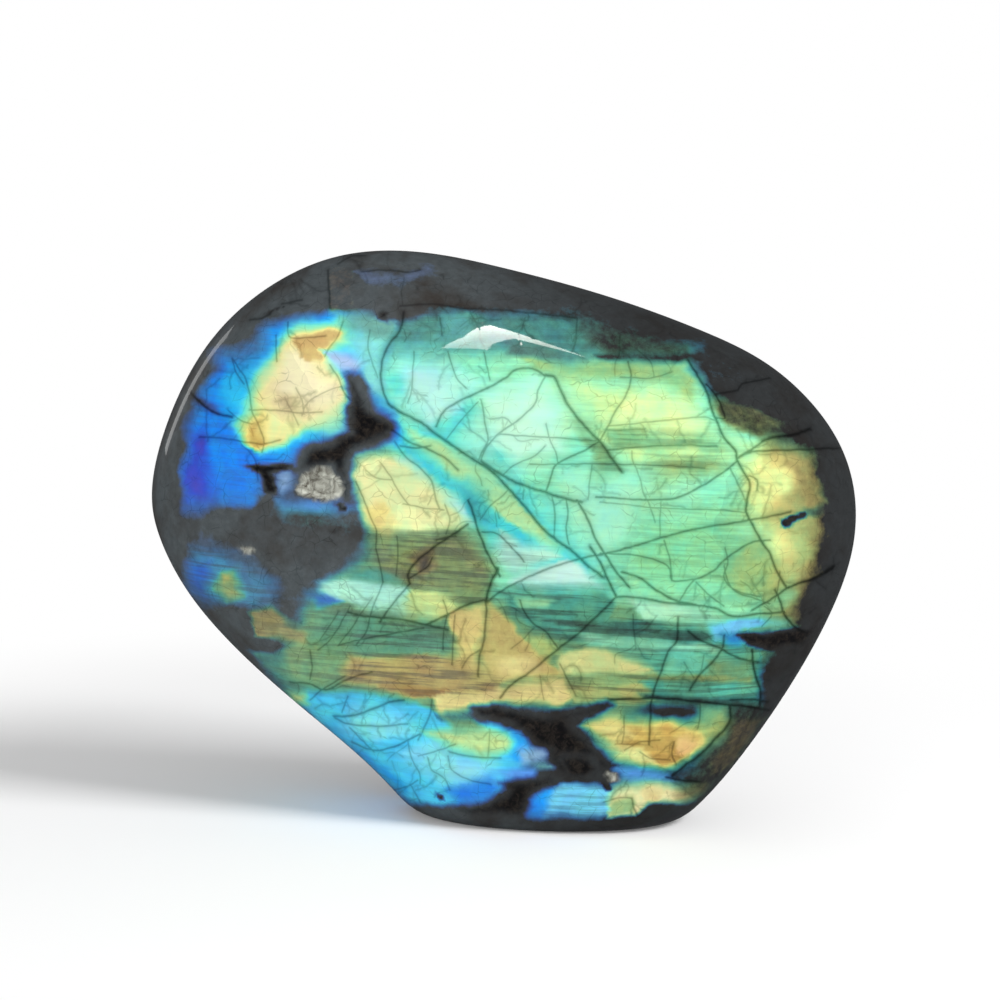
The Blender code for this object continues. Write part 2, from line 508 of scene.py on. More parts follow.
UPPER_LEFT = (
    flash("outer blue", 0.24, 0.92, 0.0, 0.3, 7,
          (186, 500), (184, 470), (192, 430), (196, 405), (207, 380), (222, 357), (240, 362), (262, 348),
          (270, 328), (300, 322), (330, 310), (350, 318), (368, 330), (372, 350), (368, 372), (352, 372),
          (346, 385), (345, 410), (340, 428), (310, 442), (300, 452), (290, 464), (262, 468), (262, 490),
          (250, 505), (225, 505), (200, 498)),
    flash("violet edge", 0.05, 0.72, 0.0, 0.1, 9,
          (184, 500), (186, 470), (194, 440), (206, 432), (209, 470), (210, 498)),
    flash("cyan ring", 0.37, 0.95, 0.0, 0.1, 8,
          (214, 395), (232, 366), (262, 356), (290, 328), (340, 318), (368, 345), (355, 370), (345, 400),
          (330, 432), (290, 450), (262, 455), (245, 425), (222, 410)),
    flash("teal cap", 0.52, 0.55, 0.1, 0.1, 6,
          (332, 312), (372, 318), (374, 345), (350, 336)),
    flash("yellow field", 0.80, 1.0, 0.2, 0.1, 8,
          (250, 402), (262, 374), (282, 348), (298, 328), (338, 326), (347, 342), (330, 354), (340, 375),
          (345, 395), (335, 415), (310, 428), (288, 442), (262, 452), (248, 442), (244, 424)),
    flash("cream heart", 0.82, 1.0, 0.5, 0.06, 12,
          (286, 352), (302, 350), (322, 366), (345, 386), (333, 410), (312, 420), (286, 408), (276, 385)),
    flash("tan veil", 0.86, 0.80, 0.3, 0.1, 7,
          (278, 392), (300, 395), (302, 415), (284, 416)),
    flash("gold top", 0.89, 0.86, 0.1, 0.08, 3,
          (296, 340), (332, 328), (345, 334), (328, 350), (322, 362), (306, 362), (300, 352)),
    flash("gold left", 0.88, 0.86, 0.0, 0.1, 5,
          (244, 424), (260, 416), (270, 444), (258, 452), (244, 442)),
    flash("lavender notch", 0.24, 0.85, 0.5, 0.1, 4,
          (322, 352), (345, 354), (366, 360), (356, 370), (334, 364)),
    flash("neck", 0.48, 0.85, 0.2, 0.1, 5,
          (350, 340), (372, 326), (400, 322), (388, 352), (384, 395), (374, 390), (362, 370)),
    flash("neck top", 0.50, 0.42, 0.2, 0.1, 5,
          (352, 318), (376, 312), (400, 320), (388, 340), (365, 338)),
    flash("deep neck", 0.28, 0.8, 0.0, 0.1, 5,
          (372, 396), (392, 412), (402, 432), (396, 444), (386, 428)),
    flash("lower blue lip", 0.27, 0.75, 0.1, 0.2, 5,
          (278, 496), (300, 502), (345, 504), (354, 509), (330, 516), (288, 518)),
    flash("little blue", 0.28, 0.75, 0.35, 0.2, 3,
          (272, 470), (288, 470), (294, 488), (282, 492)),
    flash("dim tail", 0.45, 0.10, 0.0, 0.3, 9,
          (262, 505), (330, 516), (362, 520), (350, 540), (290, 528)),
    flash("yellow lobe", 0.76, 0.97, 0.28, 0.1, 4,
          (360, 458), (382, 453), (412, 466), (440, 490), (462, 512), (470, 522), (466, 530), (430, 534),
          (392, 532), (366, 522), (356, 498), (353, 476)),
    flash("gold hem", 0.83, 0.9, 0.1, 0.2, 6,
          (364, 508), (384, 502), (398, 522), (380, 530), (366, 522)),
    flash("dark thorn", 0.15, 0.0, 0.0, 0.0, 3,
          (186, 392), (198, 398), (218, 412), (198, 404)),
)
LEFT_AND_MIDDLE = (
    flash("left lobe", 0.36, 0.46, 0.05, 0.8, 9,
          (192, 548), (215, 548), (255, 568), (276, 578), (272, 602), (250, 608), (230, 600), (206, 596),
          (190, 585), (186, 566)),
    flash("left lobe blue", 0.19, 0.6, 0.0, 0.5, 6,
          (187, 562), (208, 562), (212, 592), (196, 588)),
    flash("left lobe yellow", 0.77, 0.45, 0.05, 0.4, 5,
          (218, 586), (240, 582), (247, 598), (225, 601)),
    flash("left lobe tan", 0.85, 0.5, 0.0, 0.2, 4,
          (222, 572), (236, 571), (242, 582), (226, 584)),
    flash("olive ramp", 0.80, 0.34, 0.05, 0.5, 4,
          (248, 611), (266, 608), (312, 634), (312, 643), (290, 641), (256, 635)),
    flash("teal lip left", 0.53, 0.3, 0.0, 0.3, 5,
          (246, 651), (290, 655), (300, 668), (272, 668), (256, 661)),
    flash("blue beside the teal", 0.23, 0.55, 0.0, 0.3, 4,
          (306, 596), (338, 592), (345, 603), (318, 608)),
    flash("teal streak", 0.53, 0.92, 0.35, 0.3, 4,
          (318, 584), (345, 577), (400, 586), (410, 598), (404, 612), (360, 606), (334, 600), (318, 592)),
    flash("green veil", 0.56, 0.45, 0.0, 0.4, 5,
          (330, 576), (372, 568), (410, 576), (408, 586), (360, 580)),
    flash("yellow-green streak", 0.74, 0.88, 0.1, 0.3, 5,
          (404, 590), (445, 592), (456, 608), (440, 620), (414, 616), (400, 604)),
    flash("olive shadow", 0.74, 0.36, 0.0, 0.9, 7,
          (366, 536), (468, 534), (484, 560), (494, 584), (480, 598), (440, 590), (405, 588), (380, 568)),
    flash("brown eye", 0.95, 0.12, 0.0, 0.1, 4,
          (414, 562), (428, 552), (432, 566), (416, 576)),
    flash("tan left pane", 0.84, 0.76, 0.1, 0.15, 3,
          (446, 612), (486, 604), (480, 640), (476, 674), (456, 672), (451, 640)),
    flash("tan right pane", 0.85, 0.60, 0.05, 0.12, 3,
          (489, 604), (515, 622), (532, 644), (550, 666), (560, 676), (478, 677), (482, 640)),
    flash("tan light", 0.84, 0.84, 0.15, 0.12, 5,
          (496, 660), (530, 655), (545, 668), (530, 675), (496, 675)),
    flash("olive toe", 0.74, 0.62, 0.0, 0.2, 4,
          (524, 632), (548, 634), (560, 650), (548, 660), (534, 648)),
    flash("grey-green stripes", 0.60, 0.36, 0.0, 0.9, 6,
          (338, 614), (420, 626), (450, 640), (452, 655), (400, 656), (340, 660), (314, 642)),
    flash("olive shelf", 0.68, 0.46, 0.0, 0.6, 6,
          (290, 643), (345, 642), (346, 684), (300, 686), (284, 668)),
    flash("tan stripes", 0.86, 0.52, 0.05, 0.95, 4,
          (350, 656), (450, 656), (472, 670), (500, 680), (500, 694), (430, 696), (380, 690), (345, 680)),
    flash("red streak", 0.95, 0.55, 0.0, 0.6, 3,
          (382, 687), (420, 688), (450, 691), (440, 699), (402, 696)),
    flash("cream hem", 0.83, 0.84, 0.15, 0.3, 3,
          (432, 696), (478, 692), (520, 682), (560, 680), (574, 698), (560, 706), (505, 702), (440, 713)),
)
LOWER_FIELD = (
    flash("cyan field", 0.41, 0.95, 0.04, 0.2, 4,
          (292, 700), (306, 690), (350, 693), (400, 701), (432, 708), (440, 720), (470, 724), (500, 727),
          (530, 744), (528, 765), (500, 790), (470, 800), (440, 806), (412, 802), (380, 782), (350, 757),
          (318, 728)),
    flash("azure edge", 0.33, 0.9, 0.0, 0.15, 7,
          (326, 726), (350, 745), (380, 760), (410, 785), (406, 800), (376, 780), (345, 756)),
    flash("cyan light", 0.45, 1.0, 0.25, 0.1, 11,
          (432, 742), (460, 758), (490, 762), (488, 782), (446, 780), (404, 752)),
    flash("upper cyan light", 0.45, 1.0, 0.2, 0.1, 8,
          (352, 712), (400, 716), (414, 732), (380, 740), (350, 726)),
    flash("green lens", 0.72, 0.88, 0.12, 0.15, 4,
          (424, 732), (470, 728), (512, 736), (516, 750), (480, 757), (452, 748)),
    flash("smoky lens lip", 0.68, 0.42, 0.0, 0.3, 4,
          (440, 716), (470, 720), (480, 730), (450, 730)),
    flash("deep lower blue", 0.23, 0.85, 0.0, 0.15, 5,
          (450, 786), (492, 776), (498, 788), (488, 799), (454, 804)),
    flash("yellow corner", 0.77, 0.75, 0.1, 0.1, 3,
          (289, 692), (305, 694), (306, 704), (293, 704)),
    flash("lens blue", 0.30, 0.95, 0.0, 0.1, 4,
          (508, 728), (528, 738), (534, 750), (520, 764), (508, 756), (516, 744)),
    flash("blue finger", 0.28, 0.9, 0.1, 0.15, 3,
          (500, 771), (535, 769), (537, 780), (506, 780)),
    flash("pale finger", 0.33, 0.7, 0.35, 0.15, 4,
          (522, 752), (545, 745), (562, 746), (556, 758), (524, 764)),
    flash("grey finger", 0.5, 0.45, 0.2, 0.15, 3,
          (532, 764), (560, 762), (562, 770), (540, 770)),
    flash("bottom cyan", 0.40, 0.88, 0.15, 0.6, 5,
          (540, 796), (560, 784), (600, 786), (622, 798), (602, 815), (545, 814)),
    flash("bottom blue", 0.27, 0.95, 0.0, 0.1, 4,
          (528, 796), (552, 788), (548, 806), (540, 814), (526, 812)),
    flash("gold lobe", 0.89, 0.80, 0.0, 0.3, 7,
          (582, 726), (610, 716), (650, 718), (690, 722), (715, 716), (728, 722), (706, 750), (676, 768),
          (640, 765), (612, 752)),
    flash("gold lobe lights", 0.81, 0.85, 0.1, 0.2, 5,
          (592, 724), (620, 718), (632, 736), (612, 744), (598, 736)),
    flash("gold lobe lip", 0.78, 0.85, 0.15, 0.2, 4,
          (612, 746), (640, 748), (660, 762), (636, 762), (618, 756)),
    flash("amber bead", 0.91, 0.95, 0.12, 0.05, 4,
          (678, 740), (688, 736), (698, 746), (690, 757), (678, 755)),
    flash("olive shoulder", 0.68, 0.46, 0.0, 0.2, 5,
          (698, 706), (727, 709), (730, 720), (712, 734), (700, 724)),
    flash("cream toe", 0.80, 0.84, 0.35, 0.15, 4,
          (604, 800), (625, 782), (662, 782), (700, 790), (690, 800), (650, 805), (636, 815), (606, 816)),
    flash("green toe", 0.70, 0.62, 0.1, 0.15, 3,
          (606, 800), (630, 798), (634, 812), (608, 815)),
    flash("gold toe", 0.86, 0.82, 0.2, 0.1, 4,
          (644, 788), (664, 792), (660, 803), (648, 803)),
    flash("brown slope", 0.86, 0.12, 0.1, 0.4, 7,
          (700, 772), (735, 715), (772, 714), (745, 757), (704, 800), (680, 796)),
    flash("blue crack light", 0.28, 0.8, 0.1, 0.1, 3,
          (614, 766), (640, 768), (668, 773), (668, 779), (624, 777)),
    flash("cyan above the spot", 0.38, 0.85, 0.15, 0.1, 3,
          (712, 624), (740, 618), (792, 620), (800, 628), (742, 631), (716, 642)),
    flash("blue beside the spot", 0.29, 0.6, 0.0, 0.1, 4,
          (726, 632), (742, 634), (742, 645), (728, 644)),
    flash("right blue streak", 0.30, 0.34, 0.1, 0.1, 3,
          (806, 512), (850, 500), (853, 508), (812, 519)),
)
# Painted shade on the top bevel above the crease: the patches named veil and the smoky tail paint the colour
# play weak there, where the surface turns up and away, and the dark crease paints a dark line along the
# crease itself
VEIL_AND_PAINTED_SHADE = (
    flash("right rim", 0.83, 0.0, 0.0, 0.1, 36,
          (806, 415), (808, 480), (812, 530), (804, 570), (796, 600), (792, 640), (860, 640), (890, 500)),
    # Painted shade: the colour play muted on the top bevel above the crease
    flash("veil", 0.50, 0.29, 0.05, 0.35, 8,
          (404, 320), (440, 308), (560, 312), (602, 322), (604, 356), (560, 357), (520, 352), (440, 351),
          (384, 352), (392, 334)),
    flash("veil dusk", 0.48, 0.0, 0.0, 0.2, 13,
          (400, 285), (440, 290), (560, 296), (640, 306), (720, 326), (720, 340), (650, 322), (560, 309),
          (440, 304), (404, 306)),
    flash("veil light", 0.48, 0.42, 0.1, 0.15, 7,
          (440, 316), (468, 314), (476, 334), (452, 344), (436, 338)),
    flash("veil right", 0.60, 0.10, 0.0, 0.3, 6,
          (596, 326), (650, 330), (690, 345), (690, 356), (600, 357)),
    flash("smoky tail", 0.50, 0.17, 0.1, 0.2, 4,
          (508, 340), (590, 358), (560, 361), (530, 358), (510, 354)),
    # Painted shade: a dark line along the crease between the face and the top bevel
    flash("dark crease", 0.5, 0.0, 0.0, 0.1, 3,
          (590, 355), (640, 353), (706, 354), (708, 362), (640, 361), (596, 361)),
    flash("slate wedge", 0.5, 0.0, 0.0, 0.2, 7,
          (702, 354), (760, 352), (834, 420), (852, 470), (850, 512), (828, 500), (818, 455), (772, 432),
          (728, 411), (708, 388)),
    flash("olive behind the wedge", 0.74, 0.13, 0.0, 0.2, 7,
          (714, 396), (756, 404), (790, 426), (760, 436), (726, 424)),
    flash("wedge blue", 0.36, 0.06, 0.2, 0.2, 8,
          (700, 362), (740, 366), (745, 384), (712, 388)),
    flash("top blue streak", 0.22, 0.20, 0.25, 0.3, 5,
          (352, 270), (400, 272), (430, 264), (436, 272), (400, 284), (366, 282)),
    flash("top brown block", 0.96, 0.08, 0.0, 0.3, 4,
          (328, 268), (352, 264), (358, 306), (330, 308)),
    flash("top right green", 0.55, 0.10, 0.1, 0.3, 8,
          (580, 322), (620, 330), (612, 350), (584, 346)),
)
INCLUSIONS = (
    inclusion("great inclusion", 6,
              (344, 374), (354, 371), (362, 390), (372, 407), (392, 416), (397, 425), (390, 440), (364, 447),
              (354, 454), (350, 478), (352, 504), (343, 506), (340, 488), (332, 470), (302, 474), (293, 474),
              (300, 455), (305, 446), (330, 440), (345, 430), (347, 404)),
    inclusion("bar", 5,
              (470, 708), (490, 704), (520, 710), (560, 714), (585, 708), (605, 702), (613, 707), (602, 714),
              (570, 720), (578, 732), (594, 748), (618, 762), (606, 772), (596, 758), (566, 757), (570, 776),
              (556, 774), (552, 752), (534, 742), (512, 726), (476, 722)),
    inclusion("grey middle", 4,
              (562, 752), (590, 756), (602, 768), (592, 780), (566, 778)),
    inclusion("foot", 5,
              (498, 782), (532, 778), (558, 776), (552, 786), (530, 796), (524, 816), (470, 816), (448, 808),
              (490, 801), (504, 790)),
    inclusion("right spot", 2.5,
              (737, 633), (765, 634), (800, 628), (818, 630), (806, 646), (772, 649), (748, 646)),
    inclusion("right pits", 1.5, (781, 523), (794, 518), (808, 514), (806, 520), (790, 527), (783, 528)),
    inclusion("left pits", 2, (258, 466), (268, 468), (276, 480), (278, 492), (266, 492), (260, 480)),
    inclusion("pit string", 1.5, (240, 466), (256, 464), (284, 462), (300, 470), (284, 470), (258, 472)),
    inclusion("small pit one", 1.5, (336, 504), (345, 505), (346, 512), (338, 512)),
    inclusion("small pit two", 1.5, (326, 529), (338, 528), (338, 534), (328, 534)),
    inclusion("small pit three", 1.2, (441, 793), (446, 794), (446, 799), (441, 799)),
    inclusion("small pit four", 1.5, (601, 784), (608, 784), (613, 792), (604, 792)),
    inclusion("top crack pit", 2, (252, 318), (270, 308), (284, 303), (282, 310), (268, 316)),
    inclusion("top speck", 1.5, (414, 284), (418, 284), (419, 294), (416, 294)),
    inclusion("top cluster", 3, (382, 306), (394, 308), (392, 322), (380, 318)),
)
CRYSTALS = (
    crystal("white vug", 2.0,
            (303, 476), (316, 468), (330, 470), (341, 484), (343, 498), (328, 503), (308, 498), (299, 488)),
    crystal("pink pit", 2.5, (238, 549), (250, 549), (254, 554), (242, 556)),
    crystal("brown pit", 2.0, (610, 770), (619, 773), (619, 782), (611, 783)),
)
# In the order in which they are laid, each over those before it
PATCHES = (*MAIN_FIELD, *UPPER_LEFT, *LEFT_AND_MIDDLE, *LOWER_FIELD, *VEIL_AND_PAINTED_SHADE, *INCLUSIONS, *CRYSTALS)


def crack(width: float, dark: float, *points: tuple[float, float]) -> Crack:
    """Names a crack.

    Args:
        width: Its width in pixels.
        dark: How dark it is, from 0 to 1.
        points: The points along it, as pixel x and y.

    Returns:
        The crack.
    """
    return Crack(width, dark, points)


GREAT_CRACKS = (
    crack(3.0, 0.85, (388, 404), (400, 412), (420, 422), (440, 437), (465, 454), (490, 470), (507, 487),
          (525, 507), (545, 531), (568, 548), (590, 567), (603, 577)),
    crack(2.6, 0.85, (590, 547), (600, 562), (608, 580), (616, 596)),
    crack(2.4, 0.8, (616, 597), (600, 613), (580, 632), (557, 650), (530, 672), (512, 684), (500, 698)),
    crack(3.0, 0.8, (482, 462), (500, 474), (520, 484), (545, 492), (562, 498), (582, 502)),
    crack(2.4, 0.8, (577, 500), (588, 520), (596, 540), (606, 556), (618, 574), (630, 588)),
    crack(2.2, 0.75, (436, 427), (442, 414), (450, 406), (470, 396), (490, 387), (505, 378), (514, 371),
          (524, 368), (536, 370), (545, 376)),
    crack(3.0, 0.8, (545, 375), (554, 377), (560, 389), (566, 402), (578, 418), (590, 432), (600, 441),
          (610, 456), (622, 472)),
    crack(1.8, 0.7, (600, 441), (585, 450), (570, 457), (557, 464), (552, 474), (546, 492)),
    crack(1.8, 0.65, (628, 362), (631, 378), (626, 395), (616, 410), (608, 426), (600, 441)),
    crack(1.6, 0.6, (545, 377), (538, 390), (536, 402), (525, 414), (510, 426),
          (498, 434), (486, 448), (480, 462)),
    crack(2.4, 0.8, (404, 312), (400, 330), (388, 346), (382, 362), (381, 380), (385, 396), (392, 408)),
    crack(2.6, 0.85, (688, 360), (700, 380), (707, 392), (712, 410), (718, 424),
          (724, 438), (735, 450), (737, 460)),
    crack(1.8, 0.8, (706, 384), (716, 396), (722, 408), (725, 418), (718, 418)),
    crack(2.6, 0.85, (737, 460), (744, 472), (750, 484), (747, 500), (746, 512), (752, 524), (762, 542),
          (770, 554), (776, 570), (787, 588)),
    crack(1.8, 0.7, (750, 476), (757, 480), (757, 490)),
    crack(1.8, 0.6, (730, 468), (738, 484), (745, 500)),
    crack(2.0, 0.75, (737, 461), (722, 473), (705, 484), (690, 492), (676, 498),
          (655, 500), (625, 499), (596, 497)),
    crack(2.2, 0.75, (737, 459), (752, 452), (790, 450), (840, 448)),
    crack(2.2, 0.75, (737, 458), (750, 450), (764, 441)),
    crack(3.2, 0.85, (762, 441), (775, 437), (792, 435), (810, 429)),
    crack(2.2, 0.75, (488, 602), (500, 592), (520, 581), (545, 570), (575, 560), (620, 550), (660, 538),
          (700, 528), (745, 521), (790, 512)),
    crack(2.4, 0.85, (468, 500), (474, 515), (478, 530), (486, 550), (494, 566), (500, 576)),
    crack(1.8, 0.7, (482, 532), (498, 534), (508, 544), (520, 556), (524, 562)),
    crack(3.2, 0.9, (498, 568), (492, 580), (488, 592), (486, 602)),
    crack(2.2, 0.75, (486, 602), (486, 620), (484, 640), (480, 655), (478, 676)),
    crack(2.4, 0.8, (484, 600), (470, 604), (455, 611), (440, 618), (426, 625)),
    crack(2.4, 0.75, (448, 630), (426, 625), (405, 620), (385, 618), (362, 616), (348, 612)),
    crack(2.6, 0.85, (468, 524), (455, 533), (440, 543), (426, 553), (416, 562), (408, 574), (410, 584)),
    crack(1.8, 0.75, (410, 578), (420, 572), (428, 566), (432, 558)),
    crack(2.0, 0.75, (410, 583), (400, 595), (388, 610), (380, 622)),
    crack(2.4, 0.8, (616, 597), (640, 598), (662, 602), (690, 605), (715, 608),
          (732, 616), (760, 614), (785, 612)),
    crack(2.4, 0.8, (622, 572), (640, 578), (656, 590), (675, 600), (700, 606)),
    crack(2.4, 0.85, (775, 590), (780, 600), (784, 614), (794, 626), (804, 632)),
    crack(2.4, 0.8, (688, 631), (700, 640), (720, 648), (738, 658), (758, 662)),
    crack(2.4, 0.8, (724, 636), (723, 646), (714, 660), (700, 674), (690, 690)),
    crack(2.2, 0.8, (678, 618), (677, 640), (668, 652), (660, 674), (654, 690),
          (651, 705), (650, 722), (649, 745)),
    crack(2.6, 0.9, (752, 650), (754, 670), (760, 690), (760, 705)),
    crack(2.8, 0.9, (730, 706), (730, 722), (716, 738), (705, 750), (696, 758), (684, 766), (672, 776)),
    crack(2.2, 0.9, (666, 777), (680, 780), (700, 782)),
    crack(2.6, 0.9, (610, 700), (660, 698), (700, 702), (740, 706), (770, 710)),
    crack(2.4, 0.85, (730, 700), (752, 699), (768, 702)),
    crack(2.6, 0.9, (787, 588), (800, 583), (815, 578), (832, 569)),
    crack(2.2, 0.8, (787, 588), (770, 600), (752, 610)),
    crack(3.4, 0.9, (810, 580), (822, 574), (834, 566)),
    crack(2.0, 0.7, (250, 320), (262, 318), (270, 314)),
    crack(2.6, 0.9, (190, 392), (200, 402), (214, 412), (232, 417)),
)
MIDDLE_CRACKS = (
    crack(1.4, 0.6, (448, 352), (452, 366), (458, 380), (466, 388)),
    crack(1.4, 0.6, (484, 352), (487, 366), (490, 380)),
    crack(1.3, 0.55, (414, 352), (413, 370), (412, 388), (408, 402)),
    crack(1.6, 0.6, (481, 400), (484, 414), (486, 428), (488, 440), (482, 452), (478, 462)),
    crack(1.3, 0.55, (478, 402), (468, 412), (460, 422), (452, 432), (446, 440)),
    crack(1.3, 0.5, (490, 419), (505, 418), (512, 424)),
    crack(1.4, 0.6, (500, 434), (530, 436), (560, 438), (596, 441)),
    crack(1.4, 0.55, (545, 446), (535, 456), (520, 462), (510, 468), (502, 476)),
    crack(1.3, 0.55, (546, 424), (550, 440), (556, 452), (558, 464)),
    crack(1.4, 0.6, (530, 464), (560, 464), (600, 464), (650, 465), (705, 468)),
    crack(2.4, 0.6, (606, 430), (625, 430), (645, 429)),
    crack(2.0, 0.65, (608, 450), (640, 447), (680, 445), (716, 446)),
    crack(1.5, 0.55, (608, 426), (650, 422), (700, 417), (716, 421)),
    crack(1.3, 0.5, (632, 451), (633, 462), (640, 478), (643, 492), (650, 506), (655, 522)),
    crack(1.3, 0.5, (661, 500), (660, 520), (660, 536)),
    crack(1.4, 0.55, (600, 502), (660, 508), (720, 510), (748, 513)),
    crack(1.4, 0.5, (620, 377), (650, 378), (672, 372)),
    crack(1.6, 0.6, (725, 548), (728, 562), (724, 578), (735, 590), (760, 597)),
    crack(2.0, 0.7, (700, 578), (714, 570), (722, 562), (735, 552), (752, 542), (770, 540)),
    crack(1.6, 0.65, (600, 553), (640, 556), (668, 566), (672, 580), (690, 580), (700, 578)),
    crack(1.5, 0.6, (664, 540), (670, 560), (672, 580)),
    crack(1.6, 0.6, (694, 580), (686, 590), (680, 600)),
    crack(1.5, 0.6, (696, 582), (710, 596), (724, 606)),
    crack(1.5, 0.6, (724, 566), (728, 582), (736, 592), (754, 598), (770, 604)),
    crack(1.5, 0.6, (780, 572), (778, 586), (775, 600)),
    crack(1.4, 0.6, (764, 606), (772, 614), (762, 626)),
    crack(1.6, 0.65, (566, 498), (568, 515), (566, 530), (569, 545)),
    crack(1.6, 0.6, (552, 496), (555, 515), (554, 535)),
    crack(1.4, 0.5, (524, 490), (523, 500)),
    crack(1.4, 0.5, (592, 465), (590, 480), (588, 500)),
    crack(1.5, 0.55, (480, 520), (490, 506), (500, 498), (508, 490)),
    crack(1.3, 0.5, (496, 508), (499, 518)),
    crack(1.8, 0.6, (395, 442), (405, 456), (420, 468), (432, 482), (436, 500), (440, 510)),
    crack(1.8, 0.65, (400, 446), (416, 448), (430, 446)),
    crack(2.2, 0.7, (392, 430), (410, 442), (430, 450), (445, 458), (458, 470)),
    crack(1.3, 0.55, (380, 462), (390, 476), (398, 490), (408, 504)),
    crack(1.3, 0.5, (366, 470), (376, 478), (392, 480)),
    crack(1.6, 0.65, (356, 482), (364, 500), (370, 516), (376, 530), (376, 548), (380, 565), (383, 582)),
    crack(1.3, 0.55, (404, 504), (425, 508), (444, 510)),
    crack(1.5, 0.55, (445, 505), (450, 520), (446, 534)),
    crack(2.0, 0.7, (437, 540), (446, 537), (456, 536)),
    crack(1.5, 0.6, (397, 536), (398, 555), (396, 575)),
    crack(1.5, 0.6, (383, 582), (376, 600), (370, 615), (366, 632), (356, 645)),
    crack(1.4, 0.55, (372, 598), (360, 615), (350, 630), (338, 646)),
    crack(1.4, 0.55, (350, 606), (340, 625), (330, 640), (318, 650)),
    crack(1.4, 0.5, (338, 612), (328, 628), (320, 640)),
    crack(1.6, 0.6, (340, 645), (360, 640), (400, 632), (424, 628)),
    crack(1.5, 0.6, (443, 600), (447, 612), (444, 630), (443, 650)),
    crack(1.5, 0.6, (455, 615), (453, 640), (452, 665)),
    crack(1.8, 0.6, (462, 668), (468, 658), (480, 650)),
    crack(1.8, 0.7, (520, 600), (524, 612), (534, 624), (546, 632), (558, 648)),
    crack(1.4, 0.5, (500, 608), (510, 606), (520, 612)),
    crack(1.4, 0.5, (534, 628), (522, 640), (512, 648)),
    crack(1.6, 0.6, (560, 664), (568, 680), (576, 696)),
    crack(1.3, 0.5, (540, 676), (542, 690), (544, 700)),
    crack(1.8, 0.6, (432, 700), (430, 714), (424, 728), (418, 740)),
    crack(2.0, 0.65, (290, 682), (310, 684), (325, 690), (350, 678), (372, 672)),
    crack(1.6, 0.6, (310, 700), (322, 690), (334, 682), (345, 676)),
    crack(1.6, 0.6, (310, 650), (312, 665), (310, 680)),
    crack(2.4, 0.75, (334, 716), (350, 716), (370, 710), (390, 702), (404, 700)),
    crack(1.8, 0.65, (335, 718), (350, 724), (380, 726), (408, 724)),
    crack(1.8, 0.7, (352, 742), (372, 750), (390, 748), (404, 742), (420, 734)),
    crack(1.5, 0.6, (350, 728), (362, 740), (374, 752)),
    crack(1.4, 0.55, (408, 742), (412, 760), (420, 774), (420, 784)),
    crack(1.4, 0.55, (428, 758), (432, 770), (444, 778), (450, 790)),
    crack(1.4, 0.55, (418, 756), (440, 750), (456, 744)),
    crack(1.4, 0.55, (448, 756), (452, 770), (470, 780), (490, 784)),
    crack(1.6, 0.6, (394, 790), (408, 786), (418, 780)),
    crack(1.4, 0.55, (410, 784), (416, 794), (420, 802)),
    crack(1.4, 0.5, (490, 730), (489, 745), (488, 756)),
    crack(1.8, 0.6, (450, 752), (475, 757), (500, 758)),
    crack(1.4, 0.6, (348, 696), (344, 706), (342, 712)),
    crack(1.6, 0.6, (250, 395), (246, 380), (240, 370), (232, 358)),
    crack(1.6, 0.6, (250, 395), (252, 410), (258, 424), (264, 440), (262, 452)),
    crack(1.5, 0.55, (250, 410), (275, 410), (300, 413), (322, 412)),
    crack(1.5, 0.6, (330, 365), (338, 378), (344, 392), (350, 400)),
    crack(1.4, 0.5, (342, 386), (325, 392), (308, 402), (302, 415)),
    crack(1.4, 0.5, (285, 398), (292, 412), (298, 424)),
    crack(1.4, 0.5, (296, 388), (302, 400), (304, 414)),
    crack(1.6, 0.55, (343, 322), (338, 336), (330, 346), (325, 356)),
    crack(1.5, 0.6, (288, 322), (289, 336), (300, 338), (325, 336)),
    crack(1.5, 0.6, (276, 335), (276, 350), (277, 362)),
    crack(1.8, 0.65, (200, 437), (220, 438), (240, 441), (262, 444), (280, 440)),
    crack(1.4, 0.55, (228, 410), (240, 420), (252, 424)),
    crack(1.5, 0.6, (232, 358), (236, 372), (244, 384)),
    crack(1.5, 0.55, (248, 450), (256, 462), (258, 480)),
    crack(1.4, 0.5, (370, 330), (368, 348), (372, 362), (378, 378)),
    crack(2.0, 0.7, (328, 270), (329, 290), (330, 308)),
    crack(1.8, 0.65, (338, 264), (352, 256), (366, 256)),
    crack(1.6, 0.6, (362, 272), (385, 270), (405, 272), (420, 270)),
    crack(2.0, 0.6, (282, 304), (292, 302), (302, 300)),
    crack(1.8, 0.6, (400, 306), (430, 304), (460, 308), (500, 310), (540, 314), (576, 318)),
    crack(1.5, 0.5, (525, 318), (522, 330)),
    crack(1.6, 0.5, (577, 318), (576, 340), (572, 352)),
    crack(1.6, 0.5, (620, 336), (619, 356)),
    crack(1.6, 0.6, (440, 318), (442, 335)),
    crack(1.5, 0.5, (470, 312), (476, 322)),
    crack(1.8, 0.7, (716, 394), (738, 390), (742, 384), (770, 378)),
    crack(1.6, 0.6, (625, 750), (640, 742), (660, 740)),
    crack(1.5, 0.6, (640, 752), (650, 758), (670, 760)),
    crack(1.8, 0.7, (674, 742), (672, 755), (676, 764)),
    crack(1.5, 0.55, (616, 744), (640, 744)),
    crack(2.0, 0.7, (632, 798), (634, 808), (638, 816)),
    crack(1.6, 0.6, (604, 802), (618, 798), (632, 798)),
    crack(1.5, 0.55, (624, 718), (624, 732), (622, 744)),
    crack(1.6, 0.6, (700, 700), (700, 716), (698, 728)),
    crack(1.6, 0.55, (633, 615), (634, 632), (636, 648)),
    crack(1.5, 0.5, (704, 655), (702, 668), (698, 676)),
    crack(1.5, 0.5, (684, 662), (690, 672), (694, 678)),
)


